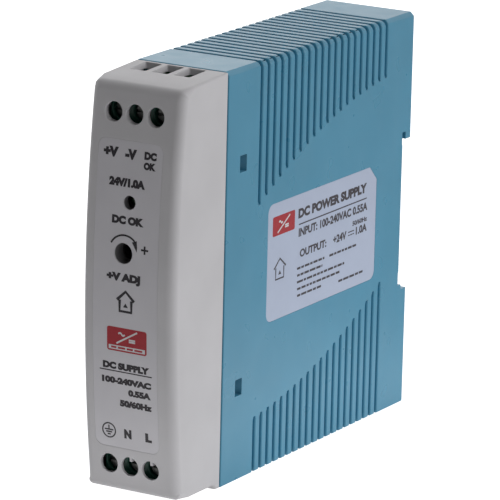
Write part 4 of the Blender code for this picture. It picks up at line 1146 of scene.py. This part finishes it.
def label_band(name, first_inset, last_inset, margin):
    """A slice of the bowed face between two insets, trimmed to the label's rounded outline."""
    x, z = around(FRONT_LABEL_X, margin), around(FRONT_LABEL_Z, margin)
    low, high = around(z, BEYOND)
    outline = face_points(low, high, first_inset) + face_points(low, high, last_inset)[::-1]
    bm = bmesh.new()
    add_prism(bm, outline, "x", *around(x, BEYOND))
    band = new_object(name, bm)
    trim = rounded_outline(x, z, FRONT_LABEL_CORNER + margin)
    carve(band, prism_tool(trim, "y", FRONT_Y - 5 * BEYOND, FRONT_Y + 8 * BEYOND), "INTERSECT")
    return band


def make_front_cover(looks):
    cover = cover_block()
    carve(cover, cover_hollow())
    carve(cover, trimmer_collar(), "UNION")
    carve(cover, label_band("tool", -2 * MM, LABEL_DEPTH, LABEL_MARGIN))
    carve(cover, funnel_cutter())
    for group, number, x, side in poles():
        tooth = group == "input" and number > 1
        carve(cover, face_hole_cutter(x, mirrored(POLE_Z, side), SCREW_HOLE_RADIUS, 0.16 * MM, tooth=tooth))
    carve(cover, face_hole_cutter(LED_X, LED_Z, LED_HOLE_RADIUS, 0.05 * MM, sides=40))
    end = TRIMMER_COLLAR_END_Y + BEYOND
    carve(cover, face_hole_cutter(TRIMMER_X, TRIMMER_Z, TRIMMER_HOLE_RADIUS, 0.05 * MM, end=end))
    carve(cover, snap_arms(), "UNION")
    settle_shading(cover)
    finish_piece(cover, looks, "cover_plastic", "chassis", "front_cover")


# Labels


def make_front_label(looks):
    label = label_band("front_label_film", LABEL_TOP, LABEL_TOP + LABEL_THICKNESS, 0)
    clearance, flare = 0.08 * MM, 0.01 * MM
    for x, z, radius in BORES:
        carve(label, face_hole_cutter(x, z, radius + clearance, flare))
    settle_shading(label)
    finish_piece(label, looks, "label_film", "chassis", "front_label")


def make_side_label(looks):
    outline = rounded_outline(SIDE_LABEL_Y, SIDE_LABEL_Z, SIDE_LABEL_CORNER, cut=SIDE_LABEL_CUT)
    outer = HALF_WIDTH - LABEL_TOP
    bm = bmesh.new()
    add_prism(bm, outline, "x", outer - LABEL_THICKNESS, outer)
    label = new_object("side_label_film", bm)
    soften(label, 0.04 * MM)
    settle_shading(label)
    finish_piece(label, looks, "side_film", "chassis", "side_label")


BOLD = 0.08
DEMI = 0.06
MEDIUM = 0.04

# How far white ink and the smallest print stand above the ink below them
WHITE_LIFT = 0.005 * MM
SMALL_LIFT = 0.0075 * MM

# Print in millimetres on its face, as spans across and up; the words on the side have a weight too.
FRONT_WORDS = (
    ("+V", (-7.05, -3.45), (73.5, 75.7)),
    ("-V", (-1.8, 1.0), (73.45, 75.65)),
    ("DC", (2.85, 5.8), (73.9, 75.6)),
    ("OK", (2.8, 5.7), (71.8, 73.4)),
    ("24V/1.0A", (-5.3, 3.4), (67.65, 69.5)),
    ("DC OK", (-4.2, 3.5), (59.8, 61.6)),
    ("+V ADJ", (-5.1, 3.1), (47.2, 49.45)),
    ("DC SUPPLY", (-6.0, 5.4), (28.45, 30.0)),
    ("100-240VAC", (-6.3, 5.8), (25.3, 26.75)),
    ("0.55A", (0.1, 5.65), (23.0, 24.45)),
    ("50/60Hz", (-2.0, 5.9), (20.45, 22.0)),
    ("N", (-1.2, 0.6), (13.45, 15.5)),
    ("L", (4.0, 5.6), (13.5, 15.5)),
)
# The rule under the title, and the plus sign beside the adjuster.
FRONT_BARS = (
    ((-6.8, 6.0), (27.95, 28.2)),
    ((3.1, 4.85), (54.83, 55.25)),
    ((3.76, 4.19), (54.15, 54.83)),
    ((3.76, 4.19), (55.25, 55.92)),
)
FRONT_BLOCK = ((-4.9, 4.8), (32.5, 37.7))
FRONT_SIGN = ((-2.6, 2.5), (34.2, 37.2))
FRONT_STRIP = ((-4.5, 4.4), (32.85, 33.75))
FRONT_HOUSE = ((-2.5, 1.7), (41.3, 45.6))
EARTH_CENTRE = (-4.94, 14.66)
EARTH_RADIUS = 1.72
# The arrow round the adjuster: centre, radius, first and last angle, steps; then its head
ADJUST_ARC = ((-1.0, 53.95), 3.6, 153, 46, 22)
ADJUST_HEAD = ((0.85, 56.3), (2.0, 56.75), (2.15, 55.3), (2.07, 54.35))
SIDE_BLOCK = ((-10.1, -0.8), (50.7, 55.0))
SIDE_SIGN = ((-8.0, -2.9), (51.3, 54.4))
SIDE_HOUSE = ((-9.2, -4.2), (41.0, 45.4))
SIGN_LINE = 0.36
SIDE_WORDS = (
    ("DC POWER SUPPLY", (0.7, 30.6), (52.6, 54.8), DEMI),
    ("INPUT: 100-240VAC 0.55A", (1.0, 31.1), (48.5, 50.4), MEDIUM),
    ("50/60Hz", (24.6, 31.1), (46.1, 47.2), MEDIUM),
    ("OUTPUT:", (1.7, 13.2), (43.8, 45.6), MEDIUM),
    ("+24V", (16.2, 22.0), (43.8, 45.6), MEDIUM),
    ("1.0A", (26.2, 31.1), (43.8, 45.6), MEDIUM),
)
# The rule under the title, and the sign for direct current: a line over three dashes.
SIDE_BARS = (
    ((1.0, 30.7), (51.14, 51.42)),
    ((22.8, 25.4), (44.9, 45.15)),
    ((22.8, 23.5), (44.2, 44.45)),
    ((23.75, 24.45), (44.2, 44.45)),
    ((24.7, 25.4), (44.2, 44.45)),
)
SIDE_TINY_LINES = (
    ((0.7, 12.5), 41.5), ((14.7, 26.5), 41.5), ((0.8, 11.7), 39.95), ((0.8, 21.4), 38.45),
    ((0.9, 19.9), 36.9), ((1.0, 12.0), 35.4), ((19.0, 29.8), 34.8),
)


def flat_text(text, weight):
    """The outlines of a text as a flat mesh in X and Y, scaled to a box of one by one."""
    curve = bpy.data.curves.new("text", "FONT")
    curve.body = text
    curve.offset = weight
    curve.resolution_u = 4
    curve.fill_mode = "FRONT"
    holder = bpy.data.objects.new("text", curve)
    bpy.context.scene.collection.objects.link(holder)
    graph = bpy.context.evaluated_depsgraph_get()
    mesh = bpy.data.meshes.new_from_object(holder.evaluated_get(graph))
    bm = bmesh.new()
    bm.from_mesh(mesh)
    bpy.data.meshes.remove(mesh)
    bpy.data.objects.remove(holder)
    bpy.data.curves.remove(curve)
    bmesh.ops.remove_doubles(bm, verts=bm.verts, dist=1e-5)
    low = Vector((min(v.co.x for v in bm.verts), min(v.co.y for v in bm.verts)))
    high = Vector((max(v.co.x for v in bm.verts), max(v.co.y for v in bm.verts)))
    for vert in bm.verts:
        vert.co.x = (vert.co.x - low.x) / (high.x - low.x)
        vert.co.y = (vert.co.y - low.y) / (high.y - low.y)
    return bm


class Print:
    """Collects flat shapes given in millimetres, then lays them as thin ink on a face."""

    def __init__(self):
        self.bm = bmesh.new()

    def add(self, other, u, v):
        """Adds a one-by-one bmesh, stretched to the spans u and v."""
        made = {}
        for vert in other.verts:
            place = (u[0] + vert.co.x * (u[1] - u[0]), v[0] + vert.co.y * (v[1] - v[0]), 0)
            made[vert] = self.bm.verts.new(place)
        for face in other.faces:
            self.bm.faces.new([made[vert] for vert in face.verts])
        other.free()

    def text(self, words, u, v, weight):
        self.add(flat_text(words, weight), u, v)

    def polygon(self, points):
        self.bm.faces.new([self.bm.verts.new((*point, 0)) for point in points])

    def bar(self, u, v):
        self.polygon(((u[0], v[0]), (u[1], v[0]), (u[1], v[1]), (u[0], v[1])))

    def stroke(self, points, width):
        """A line of constant width through points."""
        sides = []
        for index, point in enumerate(points):
            before = Vector(points[max(0, index - 1)])
            after = Vector(points[min(len(points) - 1, index + 1)])
            along = (after - before).normalized()
            across = Vector((-along.y, along.x)) * width / 2
            edges = (Vector(point) + across, Vector(point) - across)
            sides.append([self.bm.verts.new((*edge, 0)) for edge in edges])
        for (a, b), (c, d) in zip(sides, sides[1:]):
            self.bm.faces.new((a, b, d, c))

    def ring(self, centre, radius, width, steps=40):
        rings = []
        for edge in (radius - width / 2, radius + width / 2):
            circle = arc_points(centre, edge, 0, 360, steps)[:-1]
            rings.append([self.bm.verts.new((*point, 0)) for point in circle])
        bridge(self.bm, rings)

    def lay(self, name, where, material, lift=0.0):
        """Gives the flat shapes a thickness; where(u, v, inset) says the 3-D point for each."""
        bmesh.ops.recalc_face_normals(self.bm, faces=self.bm.faces)
        pushed = bmesh.ops.extrude_face_region(self.bm, geom=list(self.bm.faces), use_keep_orig=True)
        lower = {item for item in pushed["geom"] if isinstance(item, bmesh.types.BMVert)}
        for vert in self.bm.verts:
            inset = PRINT_BOTTOM if vert in lower else PRINT_TOP
            vert.co = where(vert.co.x * MM, vert.co.y * MM, inset - lift)
        obj = new_object(name, self.bm, material)
        obj.data.shade_flat()
        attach(obj, "chassis")


def arc_points(centre, radius, start, end, steps):
    points = []
    for step in range(steps + 1):
        angle = math.radians(start + (end - start) * step / steps)
        points.append((centre[0] + radius * math.cos(angle), centre[1] + radius * math.sin(angle)))
    return points


def on_front(u, v, inset):
    return Vector((u, face_y(v, inset), v))


def on_side(u, v, inset):
    return Vector((HALF_WIDTH - inset, u, v))


def converter_symbol(paper, u, v, line):
    """The usual sign for a mains-to-direct-current converter: ~ and = on the two sides of a slant."""
    mid_v = (v[0] + v[1]) / 2
    width, height = u[1] - u[0], v[1] - v[0]
    paper.stroke(((u[0], v[0]), (u[1], v[1])), line)
    wave = []
    for step in range(17):
        share = step / 16
        rise = 0.2 + 0.09 * math.sin(2 * math.pi * share)
        wave.append((u[0] + width * (0.1 + 0.3 * share), mid_v + height * rise))
    paper.stroke(wave, line)
    for lift in (-0.13, -0.27):
        paper.bar((u[0] + width * 0.6, u[0] + width * 0.9), about(mid_v + height * lift, line / 2))


def house_symbol(paper, u, v, line):
    """The usual sign for indoor use: the outline of a house with an arrow inside."""
    mid = (u[0] + u[1]) / 2
    eave = v[0] + 0.55 * (v[1] - v[0])
    inset = 0.16 * (u[1] - u[0])
    left, right, top = u[0] + inset, u[1] - inset, eave + 0.1
    paper.stroke(((u[0], eave), (mid, v[1]), (u[1], eave)), line)
    paper.stroke(((left, top), (left, v[0]), (right, v[0]), (right, top)), line)
    arrow_half, arrow_foot, arrow_tip = 0.6, v[0] + 0.9, v[0] + 1.8
    paper.polygon(((mid - arrow_half, arrow_foot), (mid + arrow_half, arrow_foot), (mid, arrow_tip)))


def earth_symbol(paper, centre, radius, line):
    paper.ring(centre, radius - line / 2, line)
    x, z = centre
    paper.bar(about(x, line / 2), (z + 0.1 * radius, z + 0.68 * radius))
    for half, drop in ((0.62, 0.1), (0.42, -0.2), (0.22, -0.5)):
        paper.bar(about(x, half * radius), about(z + drop * radius, line / 2))


def tiny_line(paper, rng, u, v, height):
    """A line of print too small to read, as word-long bars."""
    gap = 0.35
    shortest, longest = 0.9, 2.6
    start = u[0]
    while start < u[1] - 0.4:
        length = min(rng.uniform(shortest, longest), u[1] - start)
        paper.bar((start, start + length), about(v, height / 2))
        start += length + gap


def rounded_block(paper, u, v, corner):
    outline = rounded_outline([end * MM for end in u], [end * MM for end in v], corner * MM, 4)
    paper.polygon([(x / MM, y / MM) for x, y in outline])


def make_front_print(looks):
    black = Print()
    for words, u, v in FRONT_WORDS:
        black.text(words, u, v, BOLD)
    for u, v in FRONT_BARS:
        black.bar(u, v)
    black.stroke(arc_points(*ADJUST_ARC), 0.4)
    black.polygon(ADJUST_HEAD)
    house_symbol(black, *FRONT_HOUSE, 0.66)
    earth_symbol(black, EARTH_CENTRE, EARTH_RADIUS, 0.3)
    black.lay("front_print_black", on_front, looks["black_ink"])
    red = Print()
    rounded_block(red, *FRONT_BLOCK, 0.5)
    red.lay("front_print_red", on_front, looks["red_ink"])
    white = Print()
    converter_symbol(white, *FRONT_SIGN, SIGN_LINE)
    white.bar(*FRONT_STRIP)
    white.lay("front_print_white", on_front, looks["white_ink"], WHITE_LIFT)
    small = Print()
    tiny_line(small, random.Random(3), (-3.9, 3.9), 33.3, 0.42)
    small.lay("front_print_small", on_front, looks["red_ink"], SMALL_LIFT)


def make_side_print(looks):
    rng = random.Random(7)
    black = Print()
    for words, u, v, weight in SIDE_WORDS:
        black.text(words, u, v, weight)
    for u, v in SIDE_BARS:
        black.bar(u, v)
    for u, v in SIDE_TINY_LINES:
        tiny_line(black, rng, u, v, 0.5)
    house_symbol(black, *SIDE_HOUSE, 0.42)
    black.lay("side_print_black", on_side, looks["grey_ink"])
    red = Print()
    rounded_block(red, *SIDE_BLOCK, 0.4)
    red.lay("side_print_red", on_side, looks["red_ink"])
    white = Print()
    converter_symbol(white, *SIDE_SIGN, SIGN_LINE)
    white.lay("side_print_white", on_side, looks["white_ink"], WHITE_LIFT)


# Terminals, latch spring, lamp and adjuster


def make_terminal_blocks(looks):
    ends = (POLE_X[0] - POLE_PITCH / 2, POLE_X[-1] + POLE_PITCH / 2)
    front, rear = BLOCK_Y
    low, high = BLOCK_Z
    chamfered = ((front, low + BLOCK_CHAMFER), (front + BLOCK_CHAMFER, low))
    outline = ((rear, low), (rear, high), (front, high), *chamfered)
    mouth, radius = front - BEYOND, BLOCK_BORE_RADIUS
    bore = (
        (0, mouth), (radius + BLOCK_BORE_MOUTH, mouth), (radius, front + 0.15 * MM),
        (radius, BLOCK_BORE_END_Y), (0, BLOCK_BORE_END_Y),
    )
    for group, side in (("output", 1), ("input", -1)):
        bm = bmesh.new()
        add_prism(bm, [(y, mirrored(z, side)) for y, z in outline], "x", *ends)
        block = new_object(f"{group}_terminal_housing", bm)
        soften(block, 0.2 * MM)
        cavity = ((CAVITY_FRONT_Y, rear + BEYOND), mirrored_span(CAVITY_Z, side))
        wire_hole = (WIRE_HOLE_Y, mirrored_span((WIRE_HOLE_INNER_Z, high + BEYOND), side))
        carve(block, box_tool(*((about(x, CAVITY_HALF), *cavity) for x in POLE_X)))
        carve(block, box_tool(*((about(x, WIRE_HOLE_HALF), *wire_hole) for x in POLE_X)))
        for x in POLE_X:
            carve(block, new_object("tool", lathe(bore, (x, mirrored(POLE_Z, side)))))
        settle_shading(block)
        finish_piece(block, looks, "terminal_plastic", "chassis", f"{group}_terminal_block")


def threaded_screw(x, z):
    """Cheese-head screw with its thread cut as a fine helix."""
    head_rear = SCREW_FRONT_Y + SCREW_HEAD_DEPTH
    edge = 0.3 * MM
    profile = [(0, SCREW_FRONT_Y), (0.5 * SCREW_HEAD_RADIUS, SCREW_FRONT_Y)]
    for cosine, sine in quarter_turn(4):
        profile.append((SCREW_HEAD_RADIUS - edge * (1 - sine), SCREW_FRONT_Y + edge * (1 - cosine)))
    profile += [(SCREW_HEAD_RADIUS, head_rear), (SCREW_SHAFT_RADIUS, head_rear)]
    start, tip = head_rear + 0.2 * MM, SCREW_TIP_Y - 0.3 * MM
    y = start
    while y < tip:
        profile.append((SCREW_SHAFT_RADIUS, y))
        y += THREAD_PITCH / THREAD_STEPS
    profile += [(SCREW_SHAFT_RADIUS * 0.85, tip), (SCREW_SHAFT_RADIUS * 0.6, SCREW_TIP_Y), (0, SCREW_TIP_Y)]

    def thread(radius, along, share):
        if not start <= along < tip:
            return radius
        phase = ((along - head_rear) / THREAD_PITCH + share) % 1
        return radius - THREAD_DEPTH * abs(2 * phase - 1)

    return lathe(profile, (x, z), reach=thread)


def make_screws(looks):
    depth = (SCREW_FRONT_Y - BEYOND, SCREW_FRONT_Y + SCREW_SLOT_DEPTH)
    for group, number, x, side in poles():
        z = mirrored(POLE_Z, side)
        screw = new_object(f"{group}_screw_{number}_finish", threaded_screw(x, z))
        carve(screw, box_tool((about(x, 2 * SCREW_HEAD_RADIUS), depth, about(z, SLOT_HALF))))
        settle_shading(screw)
        body = f"{POLE_NAMES[group][number - 1]}_screw"
        finish_piece(screw, looks, "screw_steel", body, f"{group}_screw_{number}")


def make_spring(looks):
    """Wire coil with closed end turns."""
    turns, per_turn, sides = 6, 28, 10
    closing = 0.045
    travel = SPRING_Z[1] - SPRING_Z[0] - 2 * SPRING_WIRE
    total = turns * per_turn
    upward = Vector((0, 0, 1))
    rings = []
    for index in range(total + 1):
        share = index / total
        eased = share - closing * math.sin(2 * math.pi * share)
        angle = 2 * math.pi * index / per_turn
        outward = Vector((math.cos(angle), math.sin(angle), 0))
        height = SPRING_Z[0] + SPRING_WIRE + travel * eased
        middle = Vector((0, SPRING_Y, height)) + outward * SPRING_RADIUS
        ring = []
        for side in range(sides):
            turned = 2 * math.pi * side / sides
            ring.append(middle + (outward * math.cos(turned) + upward * math.sin(turned)) * SPRING_WIRE)
        rings.append(ring)
    bm = bmesh.new()
    add_loft(bm, rings)
    spring = new_object("latch_spring_coil", bm)
    finish_piece(spring, looks, "spring_steel", "chassis", "latch_spring")
    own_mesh(spring)


def make_indicator(looks):
    """Lamp with a domed lens and a flange."""
    radius, flange = LAMP_RADIUS, LAMP_FLANGE_RADIUS
    front, rear = LAMP_FLANGE_Y
    dome_y = face_y(LED_Z, WALL) + 0.3 * MM + radius
    profile = [(radius * sine, dome_y - radius * cosine) for cosine, sine in quarter_turn(12)]
    profile += [(radius, front), (flange, front), (flange, rear), (0, rear)]
    lamp = new_object("status_lamp_lens", lathe(profile, (LED_X, LED_Z), sides=40))
    settle_shading(lamp)
    finish_piece(lamp, looks, "lamp_lens", "chassis", "status_led")


def make_rotor(looks):
    """Adjuster rotor with one slot."""
    edge = 0.2 * MM
    profile = (
        (0, ROTOR_FACE_Y),
        (ROTOR_RADIUS - edge, ROTOR_FACE_Y),
        (ROTOR_RADIUS - 0.3 * edge, ROTOR_FACE_Y + 0.3 * edge),
        (ROTOR_RADIUS, ROTOR_FACE_Y + edge),
        (ROTOR_RADIUS, ROTOR_REAR_Y),
        (0, ROTOR_REAR_Y),
    )
    rotor = new_object("adjuster_rotor", lathe(profile, (TRIMMER_X, TRIMMER_Z)))
    depth = (ROTOR_FACE_Y - BEYOND, ROTOR_FACE_Y + ROTOR_SLOT_DEPTH)
    slot = (about(TRIMMER_X, ROTOR_SLOT_HALF_LENGTH), depth, about(TRIMMER_Z, SLOT_HALF))
    carve(rotor, box_tool(slot))
    settle_shading(rotor)
    finish_piece(rotor, looks, "rotor_plastic", "trimmer", "trimmer_rotor")


# Finishing of pieces, and the nodes that are carried over


def finish_piece(obj, looks, slot, body, *nodes):
    """Gives a piece the material for its slot and its body, and hides the nodes that it stands for."""
    obj.data.materials.clear()
    obj.data.materials.append(looks[slot])
    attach(obj, body)
    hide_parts(*nodes)


# Square-edged nodes by the width in millimetres that their edges are rounded
EDGE_ROUNDS = (
    (0.08, ("front_board", "main_board")),
    (0.12, ("led_spacer", "board_link_header")),
    (0.15, ("transformer_bobbin",)),
    (0.2, ("trimmer_body", "controller_chip", "optocoupler", "switching_transistor", "output_rectifier")),
    (0.22, ("latch_slider",)),
    (0.25, ("bridge_rectifier", "primary_heatsink", "secondary_heatsink")),
    (0.3, ("transformer_core",)),
    (0.5, ("x2_capacitor", "choke_core")),
    (0.8, ("transformer_winding", "choke_winding_1", "choke_winding_2")),
    (0.15, tuple(f"{group}_cage_{number}" for group in POLE_NAMES for number in (1, 2, 3))),
    (0.12, tuple(f"{group}_contact_bar_{number}" for group in POLE_NAMES for number in (1, 2, 3))),
)
ROUNDED_NODES = {node: width * MM for width, nodes in EDGE_ROUNDS for node in nodes}


def round_node(frame, node, looks, slot):
    """A copy of a square-edged node with its edges rounded, which stands for it."""
    mesh = frame["nodes"][node].data.copy()
    piece = bpy.data.objects.new(f"{node}_finish", mesh)
    bpy.context.scene.collection.objects.link(piece)
    merge_doubles(mesh, 1e-6, flatten=True)
    soften(piece, ROUNDED_NODES[node])
    settle_shading(piece)
    finish_piece(piece, looks, slot, frame["nodes"][node]["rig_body"], node)


def dress_nodes(frame, looks):
    """Every node still shown gets its slot's procedural material, and square ones get round edges."""
    slots = {row["node"]: row["material_slot"] for row in frame["record"]["subparts"]}
    for node, obj in frame["nodes"].items():
        if obj.hide_render:
            continue
        if node in ROUNDED_NODES:
            round_node(frame, node, looks, slots[node])
            continue
        obj.data.materials.clear()
        obj.data.materials.append(looks[slots[node]])
        obj.data.shade_smooth()
        obj.data.set_sharp_from_angle(angle=CARRIED_SMOOTH_ANGLE)


# Studio


# Light that the table gives off besides what it shows: an even glow, and round pools of it, each
# (x, y, radius, strength) in metres.
TABLE_GLOW = 0.096
TABLE_POOLS = (
    (0.0, -0.08, 0.05, 1.13),
    (0.04, 0.0, 0.06, 0.79),
    (0.04, 0.06, 0.06, 0.62),
    (0.12, 0.06, 0.12, 0.17),
    (0.30, 0.10, 0.20, 0.44),
)
# The room: an even level, and soft bright regions, each (direction, width of its edge, strength).
ROOM_LEVEL = 0.005
ROOM_REGIONS = (
    ((-0.5, 0.84, 0.22), 0.6, 0.60),
    ((0.7, 0.5, 0.5), 0.5, 0.81),
    ((1.0, 0.0, 0.12), 0.5, 1.14),
    ((-0.8, 0.3, 0.45), 0.6, 1.46),
)
SOFTBOX_POWER = 0.3
SOFTBOX_SIZE = (0.8, 0.4)
SOFTBOX_PLACE = Vector((-0.1, 0.7, 0.6))
SOFTBOX_TARGET = Vector((0, 0, 0.045))
FLOOR_HALF_SIZE = 4.0


def make_floor():
    """A white light table: even white where it is seen, with pools of stronger light round the object."""
    bm = bmesh.new()
    bmesh.ops.create_grid(bm, x_segments=1, y_segments=1, size=FLOOR_HALF_SIZE)
    floor = new_object("floor", bm)
    s = Surface("floor_look", 0.9, specular=0.1)
    s.colour(s.ramp(s.noise(0.25, 2), (0.55, 0.55, 0.55), (0.58, 0.58, 0.58)))
    total = TABLE_GLOW
    for x, y, radius, strength in TABLE_POOLS:
        away = s.vectors("DISTANCE", s.place, (x, y, 0))["Value"]
        total = s.plus(s.spread(away, strength, 0, (0, radius)), total)
    glow = s.tree.nodes.new("ShaderNodeMix")
    seen = s.node("ShaderNodeLightPath").outputs["Is Camera Ray"]
    for socket, value in zip((glow.inputs[0], *glow.inputs[2:4]), (seen, total, 1.0)):
        s.feed(socket, value)
    s.set(Emission_Color=(1, 1, 1, 1), Emission_Strength=glow.outputs[0])
    floor.data.materials.append(s.material)


def make_world():
    """An even dim room with soft bright regions round the object."""
    world = bpy.data.worlds.new("studio")
    bpy.context.scene.world = world
    world.use_nodes = True
    nodes = Nodes(world.node_tree)
    direction = nodes.node("ShaderNodeTexCoord").outputs["Generated"]
    total = ROOM_LEVEL
    for axis, edge, strength in ROOM_REGIONS:
        facing = nodes.vectors("DOT_PRODUCT", direction, Vector(axis).normalized())["Value"]
        total = nodes.plus(nodes.spread(facing, 0, strength, (edge, 1), smooth=True), total)
    background = world.node_tree.nodes["Background"]
    nodes.feed(background.inputs["Color"], (1, 1, 1, 1))
    nodes.feed(background.inputs["Strength"], total)


def make_softbox():
    """A large soft light behind and above the object."""
    data = bpy.data.lights.new("rear_softbox", "AREA")
    data.shape = "RECTANGLE"
    data.size, data.size_y = SOFTBOX_SIZE
    data.energy = SOFTBOX_POWER
    light = bpy.data.objects.new("rear_softbox", data)
    light.location = SOFTBOX_PLACE
    light.rotation_mode = "QUATERNION"
    light.rotation_quaternion = (SOFTBOX_TARGET - SOFTBOX_PLACE).to_track_quat("-Z", "Y")
    bpy.context.scene.collection.objects.link(light)


def make_camera():
    yaw, pitch, roll = CAMERA_YAW, CAMERA_PITCH, CAMERA_ROLL
    forward = Vector((-math.sin(yaw) * math.cos(pitch), math.cos(yaw) * math.cos(pitch), -math.sin(pitch)))
    right = Vector((math.cos(yaw), math.sin(yaw), 0))
    up = right.cross(forward)
    turned_right = math.cos(roll) * right + math.sin(roll) * up
    turned_up = math.cos(roll) * up - math.sin(roll) * right
    data = bpy.data.cameras.new("camera")
    data.sensor_width = 36
    data.lens = CAMERA_LENS
    data.clip_start = 0.01
    data.clip_end = 50
    camera = bpy.data.objects.new("camera", data)
    place = CAMERA_TARGET - forward * CAMERA_DISTANCE
    matrix = Matrix((turned_right, turned_up, -forward)).transposed().to_4x4()
    camera.matrix_world = Matrix.Translation(place) @ matrix
    bpy.context.scene.collection.objects.link(camera)
    bpy.context.scene.camera = camera


looks = make_materials()
for make in (
    make_housing,
    make_front_cover,
    make_front_label,
    make_side_label,
    make_front_print,
    make_side_print,
    make_terminal_blocks,
    make_screws,
    make_spring,
    make_indicator,
    make_rotor,
):
    make(looks)
dress_nodes(frame, looks)
make_floor()
make_world()
make_softbox()
make_camera()
bpy.context.scene.view_settings.view_transform = "Standard"
